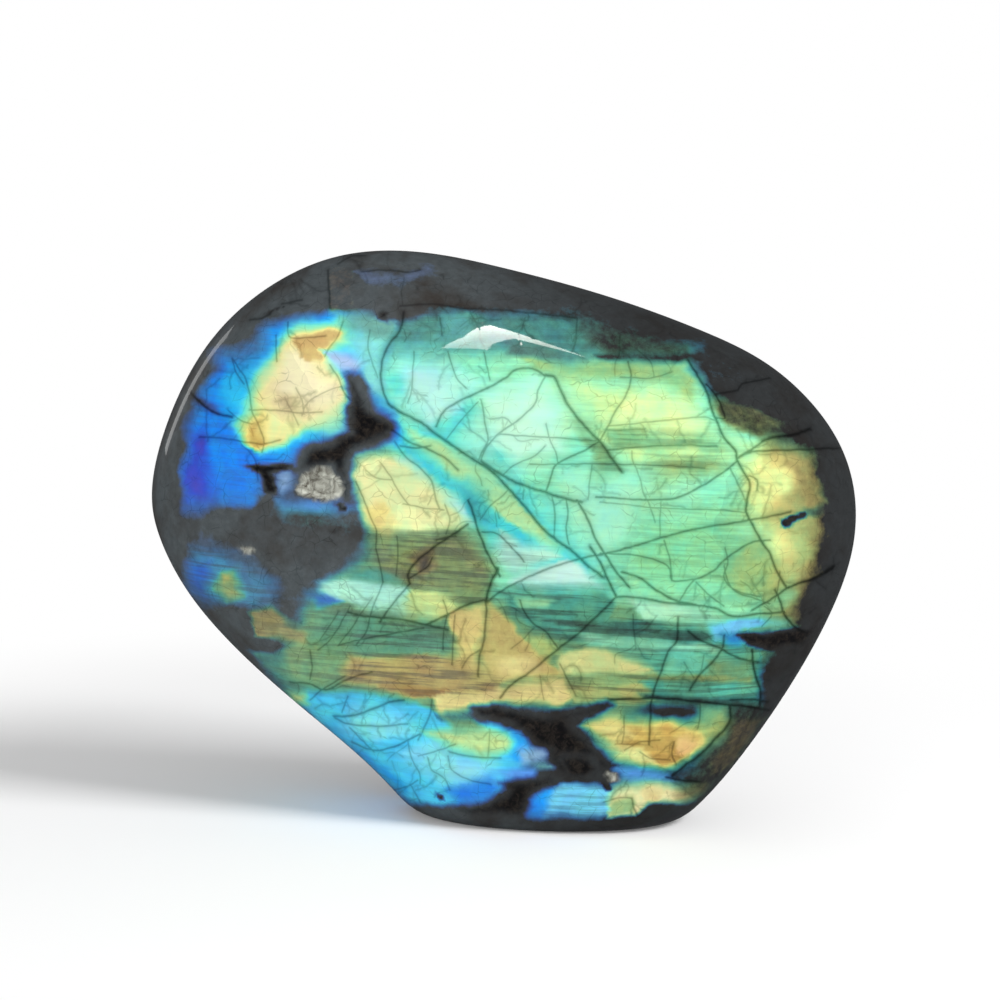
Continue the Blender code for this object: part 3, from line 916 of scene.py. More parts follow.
@dataclass(frozen=True)
class SmallCracks:
    """Short thin cracks that run off the named ones, drawn from a seeded sequence of numbers."""

    seed: int = 7
    count: int = 420
    length_pixels: tuple[float, float] = (10.0, 34.0)
    width: float = 1.15
    dark: float = 0.36
    wander: float = 0.45

    def draw(self, stems: list[Crack]) -> list[Crack]:
        """Draws the cracks.

        Args:
            stems: The named cracks that they start from.

        Returns:
            The small cracks.
        """
        rng = np.random.default_rng(self.seed)
        drawn = []
        for _ in range(self.count):
            stem = stems[rng.integers(len(stems))]
            points = np.array(stem.points)
            k = rng.integers(len(points) - 1)
            start = points[k] + (points[k + 1] - points[k]) * rng.random()
            along = points[k + 1] - points[k]
            heading = math.atan2(along[1], along[0]) + rng.choice([-1, 1]) * rng.uniform(0.6, 1.7)
            length = rng.uniform(*self.length_pixels)
            path = [start]
            for _ in range(4):
                heading += rng.normal(0, self.wander)
                path.append(path[-1] + length / 4 * np.array([math.cos(heading), math.sin(heading)]))
            drawn.append(Crack(self.width * rng.uniform(0.8, 1.2), self.dark * rng.uniform(0.6, 1.3),
                               tuple(map(tuple, path))))
        return drawn


def drift(x: float, y: float, z: float) -> tuple[float, float]:
    """A smooth push to the side and upwards, the same each time for the same place."""
    elsewhere = Vector((y + 31.7, z + 5.1, x - 12.3))
    return noise.noise(Vector((x, y, z))) * 0.6, noise.noise(elsewhere) * 0.6


def rounded_path(points: tuple[tuple[float, float], ...], step: float) -> np.ndarray:
    """A smooth path through points, with a small waver as a natural crack has.

    Args:
        points: The points along it.
        step: How far apart the points of the result lie.

    Returns:
        Pixel x and y, one a row.
    """
    p = np.array(points, float)
    if len(p) < 2:
        return p
    before = np.vstack([2 * p[0] - p[1], p[:-1]])
    after = np.vstack([p[1:], 2 * p[-1] - p[-2]])
    tangent = (after - before) / 2
    out = []
    for k in range(len(p) - 1):
        count = max(1, round(np.linalg.norm(p[k + 1] - p[k]) / step))
        t = (np.arange(count) / count)[:, None]
        out.append(
            (2 * t**3 - 3 * t**2 + 1) * p[k] + (t**3 - 2 * t**2 + t) * tangent[k]
            + (-2 * t**3 + 3 * t**2) * p[k + 1] + (t**3 - t**2) * tangent[k + 1]
        )
    path = np.vstack([*out, p[-1:]])
    waver = np.array([drift(x * 0.11, y * 0.11, 3.0) for x, y in path])
    ends = np.minimum(np.arange(len(path)), np.arange(len(path))[::-1])[:, None].clip(0, 2) / 2
    return path + waver * 1.3 * ends


def polygon_depth(points: np.ndarray, outline: np.ndarray) -> np.ndarray:
    """How deep inside an outline each point lies.

    Args:
        points: Pixel x and y, one a row.
        outline: The outline's corners.

    Returns:
        The distance to the outline, below 0 outside it.
    """
    inside = np.zeros(len(points), bool)
    nearest = np.full(len(points), 1e9)
    for a, b in zip(outline, np.roll(outline, -1, axis=0)):
        way = b - a
        away = points - a
        share = np.clip(away @ way / max(way @ way, 1e-9), 0, 1)
        nearest = np.minimum(nearest, np.hypot(*(away - share[:, None] * way).T))
        if a[1] != b[1]:
            crosses = (a[1] > points[:, 1]) != (b[1] > points[:, 1])
            at = a[0] + (points[:, 1] - a[1]) / (b[1] - a[1]) * way[0]
            inside ^= crosses & (points[:, 0] < at)
    return np.where(inside, nearest, -nearest)


@dataclass(frozen=True)
class BackPatch:
    """A weaker field of colour play on the back, as an ellipse in millimetres seen from the front."""

    middle: tuple[float, float]
    half: tuple[float, float]
    turn_degrees: float
    hue: float
    strength: float


BACK_PATCHES = (
    BackPatch((-14.0, 52.0), (34.0, 17.0), 24.0, 0.30, 0.42),
    BackPatch((-8.0, 56.0), (22.0, 9.0), 20.0, 0.50, 0.50),
    BackPatch((24.0, 40.0), (19.0, 13.0), -30.0, 0.22, 0.36),
    BackPatch((20.0, 44.0), (9.0, 6.0), -30.0, 0.66, 0.42),
    BackPatch((30.0, 66.0), (15.0, 7.0), 12.0, 0.34, 0.30),
    BackPatch((-36.0, 62.0), (10.0, 7.0), 40.0, 0.12, 0.38),
    BackPatch((8.0, 18.0), (15.0, 6.0), 8.0, 0.40, 0.30),
    BackPatch((-24.0, 44.0), (12.0, 4.0), 20.0, 0.72, 0.52),
    BackPatch((26.0, 48.0), (7.0, 3.0), -24.0, 0.84, 0.48),
    BackPatch((0.0, 76.0), (17.0, 3.5), 10.0, 0.28, 0.36),
    BackPatch((-34.0, 36.0), (9.0, 3.5), 44.0, 0.36, 0.40),
)


# Natural pits in the front face, as in the part: x, z, half width, half height and depth in millimetres
PITS = (
    ("white vug", -27.0, 56.6, 4.0, 3.0, 1.1),
    ("left vug", -35.9, 57.1, 1.6, 2.1, 0.8),
    ("lower vug", 22.6, 10.7, 1.7, 1.2, 0.7),
)


@dataclass
class StoneSkin:
    """The stone's visible skin: a fine mesh on the ground form, with its markings as attributes."""

    form: StoneForm
    view: Viewpoint
    body: str = "root"
    node: str = "labradorite_stone"
    slot: str = "labradorite"
    # Spacing of the skin's points as parts of the way from the face's middle to the rim
    front_spacing: float = 0.0088
    back_spacing: float = 0.02
    rim_points: int = 660
    guide_subdivisions: int = 6
    crack_step: float = 3.6
    # Half of a crack's drawn breadth for each pixel of its width
    crack_half: float = 0.95
    border_waver: float = 4.2
    # How many pixels beyond its own box a patch or a crack can show
    patch_reach: float = 30.0
    crack_reach: float = 6.0
    # The skin's size as a share of the part's, so that it never passes the part's box
    inset: float = 0.9976
    # The part's own place, and a coarse skin that the camera's rays are met with
    move: np.ndarray = field(init=False)
    scale: float = field(init=False)
    guide: tuple[np.ndarray, np.ndarray] = field(init=False)
    guide_points: np.ndarray = field(init=False)
    tree: BVHTree = field(init=False)

    def __post_init__(self) -> None:
        """Works out the part's own place once, kept a tenth of a millimetre inside its box."""
        self.move, scale = self.form.place()
        self.scale = scale * self.inset

    def surface(self, sphere: np.ndarray) -> np.ndarray:
        """Finds the skin's places, with the natural pits sunk in the front face.

        Args:
            sphere: Points of the unit sphere.

        Returns:
            Places in millimetres, in the part's frame.
        """
        points = (self.form.ground(sphere) + self.move) * self.scale
        for _, x, z, half_width, half_height, depth in PITS:
            reach = np.hypot((points[:, 0] - x) / half_width, (points[:, 2] - z) / half_height)
            inside = np.nonzero((reach < 1.2) & (points[:, 1] < 0))[0]
            for k in inside:
                rough = noise.noise(Vector(points[k]) * 0.9)
                share = smooth(1.0, 0.45, reach[k] + rough * 0.3)
                points[k, 1] += depth * share * (0.8 + rough * 0.5)
        return points

    @staticmethod
    def sphere_of(chart: np.ndarray, back: bool = False) -> np.ndarray:
        """Turns places on a round chart of the front or the back to points of the unit sphere.

        Args:
            chart: Places whose distance from 0 is 1 at the rim.
            back: Whether the chart's middle is the back's.

        Returns:
            Unit vectors.
        """
        tilt = np.hypot(*chart.T)
        angle = np.arctan2(chart[:, 1], chart[:, 0])
        across = np.sin(tilt * math.pi / 2)
        deep = np.cos(tilt * math.pi / 2) * (1 if back else -1)
        return np.column_stack([across * np.cos(angle), deep, across * np.sin(angle)])

    def chart_of(self, pixels: np.ndarray) -> np.ndarray:
        """Carries pixels along the camera's rays to the front's round chart.

        Args:
            pixels: Pixel x and y, one a row.

        Returns:
            Places on the chart. A ray that misses the front gives not-a-number.
        """
        sphere, faces = self.guide
        rays = self.view.rays(pixels)
        eye = Vector(self.view.eye())
        out = np.full((len(pixels), 2), np.nan)
        for k, ray in enumerate(rays):
            place, _, face, _ = self.tree.ray_cast(eye, Vector(ray))
            if face is None:
                continue
            a, b, c = (self.guide_points[i] for i in faces[face])
            u, v = b - a, c - a
            w = np.array(place) - a
            uu, uv, vv, wu, wv = u @ u, u @ v, v @ v, w @ u, w @ v
            low = uu * vv - uv * uv
            s, t = (vv * wu - uv * wv) / low, (uu * wv - uv * wu) / low
            corners = sphere[faces[face]]
            point = corners[0] * (1 - s - t) + corners[1] * s + corners[2] * t
            point /= np.linalg.norm(point)
            tilt = math.acos(max(-1.0, min(1.0, -point[1]))) / (math.pi / 2)
            angle = math.atan2(point[2], point[0])
            out[k] = tilt * math.cos(angle), tilt * math.sin(angle)
        return out

    def make_guide(self) -> None:
        """Lays out the coarse skin."""
        sphere, faces = sphere_points(self.guide_subdivisions)
        self.guide = (sphere, faces)
        self.guide_points = self.surface(sphere)
        self.tree = BVHTree.FromPolygons([Vector(p) for p in self.guide_points], faces.tolist())

    @staticmethod
    def hexagons(spacing: float) -> np.ndarray:
        """Evenly spaced points in a round chart, each a little off its place.

        Args:
            spacing: How far apart they lie.

        Returns:
            Places inside the chart.
        """
        row = spacing * math.sqrt(3) / 2
        count = int(1 / row) + 1
        rows = np.arange(-count, count + 1)
        x, y = np.meshgrid(rows * spacing, rows * row)
        x = x + (rows[:, None] % 2) * spacing / 2
        points = np.column_stack([x.ravel(), y.ravel()])
        rng = np.random.default_rng(3)
        points += rng.uniform(-0.12, 0.12, points.shape) * spacing
        return points[np.hypot(*points.T) < 1 - spacing * 0.7]

    def crack_lines(self) -> list[tuple[Crack, np.ndarray]]:
        """The paths of all cracks in the picture's frame.

        Returns:
            Each crack with its path.
        """
        named = [*GREAT_CRACKS, *MIDDLE_CRACKS]
        small = SmallCracks().draw(named)
        return [(c, rounded_path(c.points, self.crack_step)) for c in [*named, *small]]

    def mesh_parts(self, lines: list[tuple[Crack, np.ndarray]]) -> tuple[np.ndarray, np.ndarray]:
        """Lays out the skin's points and triangles.

        Args:
            lines: The cracks and their paths.

        Returns:
            Points of the unit sphere and vertex numbers of triangles.
        """
        ring = np.arange(self.rim_points) * 2 * math.pi / self.rim_points
        rim = np.column_stack([np.cos(ring), np.sin(ring)])
        loop = list(range(self.rim_points))
        extra, edges = [], []
        for line, path in lines:
            along = np.gradient(path, axis=0)
            along /= np.linalg.norm(along, axis=1, keepdims=True).clip(1e-6)
            beside = np.column_stack([-along[:, 1], along[:, 0]]) * line.width * self.crack_half
            for offset in (-1, 0, 1):
                if offset and line.width < 1.3:
                    continue
                chart = self.chart_of(path + beside * offset)
                good = np.isfinite(chart[:, 0]) & (np.hypot(*chart.T) < 0.985)
                first = self.rim_points + len(extra)
                numbers = np.cumsum(good) - 1 + first
                extra.extend(chart[good])
                joined = np.nonzero(good[:-1] & good[1:])[0]
                edges += [(int(numbers[k]), int(numbers[k + 1])) for k in joined]
        inner = self.hexagons(self.front_spacing)
        places = np.vstack([rim, np.array(extra), inner])
        made = delaunay_2d_cdt([Vector(p) for p in places], edges, [loop], 1, 2e-4, True)
        front = np.array([tuple(v) for v in made[0]])
        front_faces = np.array([f for f in made[2] if len(f) == 3])
        # The rim's points keep their own numbers, so that the back is sewn to the same ones
        rim_number = {o: k for k, origin in enumerate(made[3]) for o in origin if o < self.rim_points}
        wide = self.hexagons(self.back_spacing)
        near = self.hexagons(self.back_spacing * 0.6)
        wide = np.vstack([wide[np.hypot(*wide.T) < 0.8], near[np.hypot(*near.T) >= 0.81]])
        turned = delaunay_2d_cdt(
            [Vector(p) for p in np.vstack([rim, wide])], [], [loop], 1, 1e-6, True
        )
        back = np.array([tuple(v) for v in turned[0]])
        number = np.empty(len(back), int)
        is_rim = np.zeros(len(back), bool)
        for k, origin in enumerate(turned[3]):
            shared = [o for o in origin if o < self.rim_points]
            if shared:
                number[k] = rim_number[shared[0]]
                is_rim[k] = True
        number[~is_rim] = len(front) + np.arange((~is_rim).sum())
        back_faces = number[np.array([f for f in turned[2] if len(f) == 3])][:, ::-1]
        sphere = np.vstack([self.sphere_of(front), self.sphere_of(back[~is_rim], back=True)])
        return sphere, np.vstack([front_faces, back_faces])

    def wavered(self, pixels: np.ndarray) -> np.ndarray:
        """Pixels moved a little, so that the markings' borders come out ragged as in feldspar.

        Args:
            pixels: Pixel x and y, one a row.

        Returns:
            The moved pixels.
        """
        out = pixels.copy()
        for scale, share in ((0.018, 1.7), (0.05, 1.0), (0.14, 0.6)):
            shift = np.array([
                drift(x * scale, y * scale * 1.8, scale * 90) for x, y in pixels
            ])
            out += shift * np.array([1.5, 0.8]) * self.border_waver * share
        return out

    def add_patches(self, marks: dict[str, np.ndarray], pixels: np.ndarray, seen: np.ndarray) -> None:
        """Lays the fields of colour play, the inclusions and the crystals over each other.

        Args:
            marks: The markings so far, by the attribute's name.
            pixels: Where the skin's points come out in the picture.
            seen: How far each point lies on the side that the picture shows.
        """
        ragged = self.wavered(pixels)
        # A border is crisp along one stretch and fades along the next
        spread = np.array([noise.noise(Vector((x * 0.022, y * 0.03, 7.0))) for x, y in pixels])
        spread = np.clip(1.7 + 3.0 * spread, 0.7, 3.6)
        for patch in PATCHES:
            outline = np.array(patch.outline)
            low, high = outline.min(axis=0) - self.patch_reach, outline.max(axis=0) + self.patch_reach
            near = np.nonzero(((pixels > low) & (pixels < high)).all(axis=1) & (seen > 0))[0]
            depth = polygon_depth(ragged[near], outline)
            soft = patch.soft * (spread[near] if patch.kind is Ground.FLASH else 1.0)
            share = smooth(0.0, 1.0, 0.5 + depth / soft / 2) * seen[near]
            if patch.kind is Ground.CRYSTAL:
                marks["crystal"][near] = np.maximum(marks["crystal"][near], share)
                marks["inclusion"][near] *= 1 - share
                continue
            for name, value in (
                ("flash_strength", patch.strength), ("flash_hue", patch.hue),
                ("flash_milk", patch.milk), ("lamellae", patch.lamellae),
            ):
                marks[name][near] += (value - marks[name][near]) * share
            dark = marks["inclusion"]
            if patch.kind is Ground.INCLUSION:
                dark[near] += (1 - dark[near]) * smooth(0.0, patch.soft * 2, depth) * seen[near]
            else:
                dark[near] *= 1 - share

    def add_cracks(
        self, marks: dict[str, np.ndarray], pixels: np.ndarray, seen: np.ndarray,
        lines: list[tuple[Crack, np.ndarray]],
    ) -> None:
        """Darkens each crack, with a faint shadow beside it.

        Args:
            marks: The markings so far, by the attribute's name.
            pixels: Where the skin's points come out in the picture.
            seen: How far each point lies on the side that the picture shows.
            lines: The cracks and their paths.
        """
        dark = marks["crack"]
        for line, path in lines:
            low, high = path.min(axis=0) - self.crack_reach, path.max(axis=0) + self.crack_reach
            near = np.nonzero(((pixels > low) & (pixels < high)).all(axis=1) & (seen > 0))[0]
            if not len(near):
                continue
            nearest = np.full(len(near), np.inf)
            for a, b in zip(path[:-1], path[1:]):
                way = b - a
                away = pixels[near] - a
                share = np.clip(away @ way / max(way @ way, 1e-9), 0, 1)
                nearest = np.minimum(nearest, np.hypot(*(away - share[:, None] * way).T))
            core = np.clip(1.25 * (1 - nearest / (line.width * self.crack_half)), 0, 1)
            halo = 0.34 * np.clip(1 - nearest / (line.width * 2.6), 0, 1)
            dark[near] = np.maximum(dark[near], line.dark * np.maximum(core, halo) * seen[near])

    def add_back(self, marks: dict[str, np.ndarray], points: np.ndarray, tilt: np.ndarray) -> None:
        """Lays the weaker colour play over the back, with strong lamellae.

        Args:
            marks: The markings so far, by the attribute's name.
            points: Places in millimetres.
            tilt: How far each point lies from the face's middle, with 1 at the rim.
        """
        behind = smooth(1.08, 1.22, tilt)
        bend = np.array([
            noise.noise(Vector(p) * 0.07) + 0.5 * noise.noise(Vector((p[0] * 0.12, p[1], p[2] * 0.42)))
            + 0.2 * noise.noise(Vector(p) * 0.8) for p in points
        ])
        marks["lamellae"] += (0.8 - marks["lamellae"]) * behind
        for patch in BACK_PATCHES:
            turn = math.radians(patch.turn_degrees)
            x, z = points[:, 0] - patch.middle[0], points[:, 2] - patch.middle[1]
            along = (x * math.cos(turn) + z * math.sin(turn)) / patch.half[0]
            across = (z * math.cos(turn) - x * math.sin(turn)) / patch.half[1]
            share = smooth(1.25, 0.55, np.hypot(along, across) + bend * 0.9) * behind
            marks["flash_hue"] += (patch.hue - marks["flash_hue"]) * share
            marks["flash_strength"] += (patch.strength - marks["flash_strength"]) * share

    def markings(
        self, points: np.ndarray, sphere: np.ndarray, lines: list[tuple[Crack, np.ndarray]]
    ) -> dict[str, np.ndarray]:
        """Works out every marking at every point of the skin.

        Args:
            points: Places in millimetres.
            sphere: The same points on the unit sphere.
            lines: The cracks and their paths.

        Returns:
            A number for each point, by the attribute's name.
        """
        pixels = self.view.pixels(points)
        tilt = np.arccos(np.clip(-sphere[:, 1], -1, 1)) / (math.pi / 2)
        seen = smooth(1.10, 0.99, tilt)
        start = {
            "flash_hue": 0.24, "flash_strength": 0.0, "flash_milk": 0.0, "lamellae": 0.25,
            "inclusion": 0.0, "crystal": 0.0, "crack": 0.0,
        }
        marks = {name: np.full(len(points), value) for name, value in start.items()}
        self.add_patches(marks, pixels, seen)
        self.add_cracks(marks, pixels, seen, lines)
        self.add_back(marks, points, tilt)
        return marks

    def build(self, material: bpy.types.Material) -> bpy.types.Object:
        """Builds the skin in place of the part's node.

        Args:
            material: The stone's finish.

        Returns:
            The stone.
        """
        self.make_guide()
        lines = self.crack_lines()
        sphere, faces = self.mesh_parts(lines)
        points = self.surface(sphere)
        mesh = bpy.data.meshes.new("labradorite")
        mesh.from_pydata((points * MM).tolist(), [], faces.tolist())
        for name, values in self.markings(points, sphere, lines).items():
            attribute = mesh.attributes.new(name, "FLOAT", "POINT")
            attribute.data.foreach_set("value", values.astype(np.float32))
        blank = bmesh.new()
        blank.from_mesh(mesh)
        bmesh.ops.recalc_face_normals(blank, faces=blank.faces)
        blank.to_mesh(mesh)
        blank.free()
        mesh.shade_smooth()
        mesh.materials.append(material)
        stone = bpy.data.objects.new("polished_labradorite", mesh)
        bpy.context.scene.collection.objects.link(stone)
        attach(stone, self.body)
        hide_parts(self.node)
        return stone


@dataclass(frozen=True)
class PolishedLabradorite:
    """Labradorite feldspar, sawn, ground and polished on felt.

    It gives the eye a near-black grey-green stone with a glassy skin. Inside it, thin layers throw
    back fields of violet, blue, green and gold that break along cracks and fine straight lamellae.
    """

    body: str = "#5a6164"
    body_deep: str = "#33383a"
    body_brown: str = "#2f261e"
    # The stone grows darker towards its right-hand end, between these places along x
    body_dark_end: str = "#171413"
    dark_end_mm: tuple[float, float] = (-22.0, 26.0)
    inclusion_black: str = "#08070a"
    inclusion_brown: str = "#2e2822"
    # The crystals' brown, which also stands for painted shade between them
    crystal_white: str = "#c4c6ba"
    crystal_brown_and_shade: str = "#3c3428"
    milk_white: str = "#fdfdf0"
    # The colours that the layers throw back, from the closest spacing to the widest
    play: tuple[tuple[float, str], ...] = (
        (0.00, "#5640d0"), (0.10, "#2b52e2"), (0.22, "#0a84fa"), (0.33, "#10acf6"),
        (0.42, "#30d2f8"), (0.50, "#4ce6d6"), (0.58, "#78ecbc"), (0.66, "#9ae8a0"),
        (0.74, "#ccec8a"), (0.81, "#f6e880"), (0.88, "#dcba60"), (0.94, "#d29c48"), (1.00, "#a8603c"),
    )
    # How far the layers' spacing wanders to either side
    hue_wander: float = 0.10
    # A crack keeps this share of the red, green and blue that it lies in, over a little of its own
    crack_keeps: tuple[float, float, float] = (0.14, 0.18, 0.17)
    crack_own: tuple[float, float, float] = (0.010, 0.022, 0.018)
    hair_dark: float = 0.42
    refraction: float = 1.56
    roughness: float = 0.35
    specular: float = 0.2
    polish: float = 0.8
    polish_roughness: float = 0.02
    # Lamellae in real stones lie 0.05 to 0.3 mm apart; they are drawn at 0.8 mm so that they show
    lamella_per_mm: float = 1.25
    lamella_run_mm: float = 14.0
    lamella_degrees: float = 1.6
    grain_per_mm: float = 0.7
    wander_per_mm: float = 0.245
    stain_per_mm: float = 0.11
    speck_per_mm: float = 0.9
    glint_per_mm: float = 0.42
    cleavage_per_mm: float = 0.34
    facet_per_mm: float = 0.09
    bend_per_mm: float = 0.25
    bend_mm: float = 2.6

    def band_light(
        self, tree: bpy.types.NodeTree, mm: bpy.types.NodeSocket, lamellae: bpy.types.NodeSocket
    ) -> bpy.types.NodeSocket:
        """Adds the fine lamellae: long straight runs across the face, a little lower to the right.

        Args:
            tree: The material's node tree.
            mm: Places in millimetres.
            lamellae: How strong the lamellae are.

        Returns:
            The share of the colour play that they let through.
        """
        run = 1 / self.lamella_run_mm
        laid = add_node(
            tree, "Mapping",
            {
                "Vector": mm,
                "Rotation": (0.0, math.radians(self.lamella_degrees), 0.0),
                "Scale": (run, run, self.lamella_per_mm),
            },
        ).outputs[0]
        runs = add_node(
            tree, "TexNoise", {"Vector": laid, "Scale": 1.0, "Detail": 3.0, "Roughness": 0.62}
        ).outputs["Fac"]
        bands = add_node(
            tree, "MapRange", {"Value": runs, "From Min": 0.60, "From Max": 0.40},
            interpolation_type="SMOOTHSTEP",
        ).outputs[0]
        depth = add_node(tree, "Math", {0: bands, 1: lamellae}, operation="MULTIPLY").outputs[0]
        return add_node(tree, "MapRange", {"Value": depth, "To Min": 1.0, "To Max": 0.34}).outputs[0]

    def play_colour(
        self, tree: bpy.types.NodeTree, wander: bpy.types.NodeSocket, marks: dict[str, bpy.types.NodeSocket]
    ) -> bpy.types.NodeSocket:
        """Adds the colour that the layers throw back.

        Args:
            tree: The material's node tree.
            wander: The noise that the layers' spacing follows.
            marks: The skin's markings by name.

        Returns:
            The colour.
        """
        shifted = add_node(
            tree, "Math", {0: wander, 1: 2 * self.hue_wander, 2: marks["flash_hue"]}, operation="MULTIPLY_ADD"
        ).outputs[0]
        hue = add_node(tree, "Math", {0: shifted, 1: -self.hue_wander}, operation="ADD").outputs[0]
        play = add_node(tree, "ValToRGB", {"Fac": hue})
        ramp = play.color_ramp
        while len(ramp.elements) < len(self.play):
            ramp.elements.new(0.5)
        for element, (position, colour) in zip(ramp.elements, self.play):
            element.position = position
            element.color = linear(colour)
        return add_node(
            tree, "Mix", {0: marks["flash_milk"], 6: play.outputs["Color"], 7: linear(self.milk_white)},
            data_type="RGBA",
        ).outputs[2]

    def body_colour(
        self, tree: bpy.types.NodeTree, mm: bpy.types.NodeSocket, grain: bpy.types.NodeSocket
    ) -> bpy.types.NodeSocket:
        """Adds the dark body: grey-green feldspar with brown stains, darker at its right-hand end.

        Args:
            tree: The material's node tree.
            mm: Places in millimetres.
            grain: The fine noise of the feldspar.

        Returns:
            The colour.
        """
        stain = add_node(
            tree, "TexNoise", {"Vector": mm, "Scale": self.stain_per_mm, "Detail": 4.0, "Roughness": 0.6}
        ).outputs["Fac"]
        stain_share = add_node(
            tree, "MapRange", {"Value": stain, "From Min": 0.44, "From Max": 0.72, "To Max": 0.8}
        ).outputs[0]
        body = add_node(
            tree, "Mix", {0: grain, 6: linear(self.body_deep), 7: linear(self.body)}, data_type="RGBA"
        ).outputs[2]
        stained = add_node(
            tree, "Mix", {0: stain_share, 6: body, 7: linear(self.body_brown)}, data_type="RGBA"
        ).outputs[2]
        along = add_node(tree, "SeparateXYZ", {0: mm}).outputs["X"]
        start, end = self.dark_end_mm
        dark_end = add_node(
            tree, "MapRange", {"Value": along, "From Min": start, "From Max": end, "To Max": 0.72},
            interpolation_type="SMOOTHSTEP",
        ).outputs[0]
        return add_node(
            tree, "Mix", {0: dark_end, 6: stained, 7: linear(self.body_dark_end)}, data_type="RGBA"
        ).outputs[2]

    def flash_share(
        self, tree: bpy.types.NodeTree, grain: bpy.types.NodeSocket, pulled: bpy.types.NodeSocket,
        band_light: bpy.types.NodeSocket, strength: bpy.types.NodeSocket,
    ) -> bpy.types.NodeSocket:
        """Adds how much of the colour play shows: ragged where it fades, and uneven over its facets.

        Args:
            tree: The material's node tree.
            grain: The fine noise of the feldspar.
            pulled: Places pulled about so that no pattern on them runs straight.
            band_light: The share that the lamellae let through.
            strength: The marked strength of the colour play.

        Returns:
            A share from 0 to 1.
        """
        facets = add_node(tree, "TexVoronoi", {"Vector": pulled, "Scale": self.facet_per_mm}).outputs["Color"]
        facet = add_node(tree, "SeparateColor", {0: facets}).outputs[0]
        facet_light = add_node(tree, "MapRange", {"Value": facet, "To Min": 0.84}).outputs[0]
        ragged = add_node(tree, "Math", {0: grain, 1: 0.30, 2: strength}, operation="MULTIPLY_ADD").outputs[0]
        shown = add_node(tree, "MapRange", {"Value": ragged, "From Min": 0.22, "From Max": 1.10}).outputs[0]
        banded = add_node(tree, "Math", {0: shown, 1: band_light}, operation="MULTIPLY").outputs[0]
        return add_node(tree, "Math", {0: banded, 1: facet_light}, operation="MULTIPLY").outputs[0]

    def with_inclusions(
        self, tree: bpy.types.NodeTree, mm: bpy.types.NodeSocket, coloured: bpy.types.NodeSocket,
        marks: dict[str, bpy.types.NodeSocket],
    ) -> bpy.types.NodeSocket:
        """Adds the dark inclusions, specked with brown, and the crystals in the pits, mottled partly in their
        own white and brown and partly with painted shade between them.

        Args:
            tree: The material's node tree.
            mm: Places in millimetres.
            coloured: The colour of the stone round them.
            marks: The skin's markings by name.

        Returns:
            The colour.
        """
        speck = add_node(
            tree, "TexNoise",
            {"Vector": mm, "Scale": self.speck_per_mm, "Detail": 5.0, "Roughness": 0.75, "Distortion": 0.8},
        ).outputs["Fac"]
        speck_share = add_node(
            tree, "MapRange", {"Value": speck, "From Min": 0.44, "From Max": 0.66}
        ).outputs[0]
        black = add_node(
            tree, "Mix", {0: speck_share, 6: linear(self.inclusion_black), 7: linear(self.inclusion_brown)},
            data_type="RGBA",
        ).outputs[2]
        held = add_node(
            tree, "Mix", {0: marks["inclusion"], 6: coloured, 7: black}, data_type="RGBA"
        ).outputs[2]
        # The crystals' mottle: partly their own white and brown, partly painted shade between the crystals
        glint = add_node(
            tree, "TexNoise",
            {"Vector": mm, "Scale": self.glint_per_mm, "Detail": 5.0, "Roughness": 0.66, "Distortion": 1.2},
        ).outputs["Fac"]
        glint_share = add_node(
            tree, "MapRange", {"Value": glint, "From Min": 0.36, "From Max": 0.68}
        ).outputs[0]
        crystal = add_node(
            tree, "Mix", {0: glint_share, 6: linear(self.crystal_white), 7: linear(self.crystal_brown_and_shade)},
            data_type="RGBA",
        ).outputs[2]
        return add_node(tree, "Mix", {0: marks["crystal"], 6: held, 7: crystal}, data_type="RGBA").outputs[2]

    def with_cracks(
        self, tree: bpy.types.NodeTree, pulled: bpy.types.NodeSocket, wander: bpy.types.NodeSocket,
        whole: bpy.types.NodeSocket, crack_mark: bpy.types.NodeSocket,
    ) -> bpy.types.NodeSocket:
        """Adds the cracks, and a net of hair cracks that is broken up so that it never closes.

        A crack shows as a darker and fuller tone of the colour that it lies in.

        Args:
            tree: The material's node tree.
            pulled: Places pulled about so that no pattern on them runs straight.
            wander: The noise that breaks the net up.
            whole: The colour of the stone without cracks.
            crack_mark: How dark the marked cracks are.

        Returns:
            The colour.
        """
        net = add_node(
            tree, "TexVoronoi", {"Vector": pulled, "Scale": self.cleavage_per_mm}, feature="DISTANCE_TO_EDGE"
        ).outputs["Distance"]
        hair = add_node(
            tree, "MapRange", {"Value": net, "From Max": 0.03, "To Min": self.hair_dark, "To Max": 0.0}
        ).outputs[0]
        gaps = add_node(tree, "MapRange", {"Value": wander, "From Min": 0.44, "From Max": 0.60}).outputs[0]
        hairs = add_node(tree, "Math", {0: hair, 1: gaps}, operation="MULTIPLY").outputs[0]
        cracked = add_node(tree, "Math", {0: hairs, 1: crack_mark}, operation="MAXIMUM").outputs[0]
        fuller = add_node(
            tree, "VectorMath", {0: whole, 1: self.crack_keeps, 2: self.crack_own}, operation="MULTIPLY_ADD"
        ).outputs[0]
        deeper = add_node(tree, "VectorMath", {0: whole, 1: fuller}, operation="MULTIPLY").outputs[0]
        return add_node(tree, "Mix", {0: cracked, 6: whole, 7: deeper}, data_type="RGBA").outputs[2]

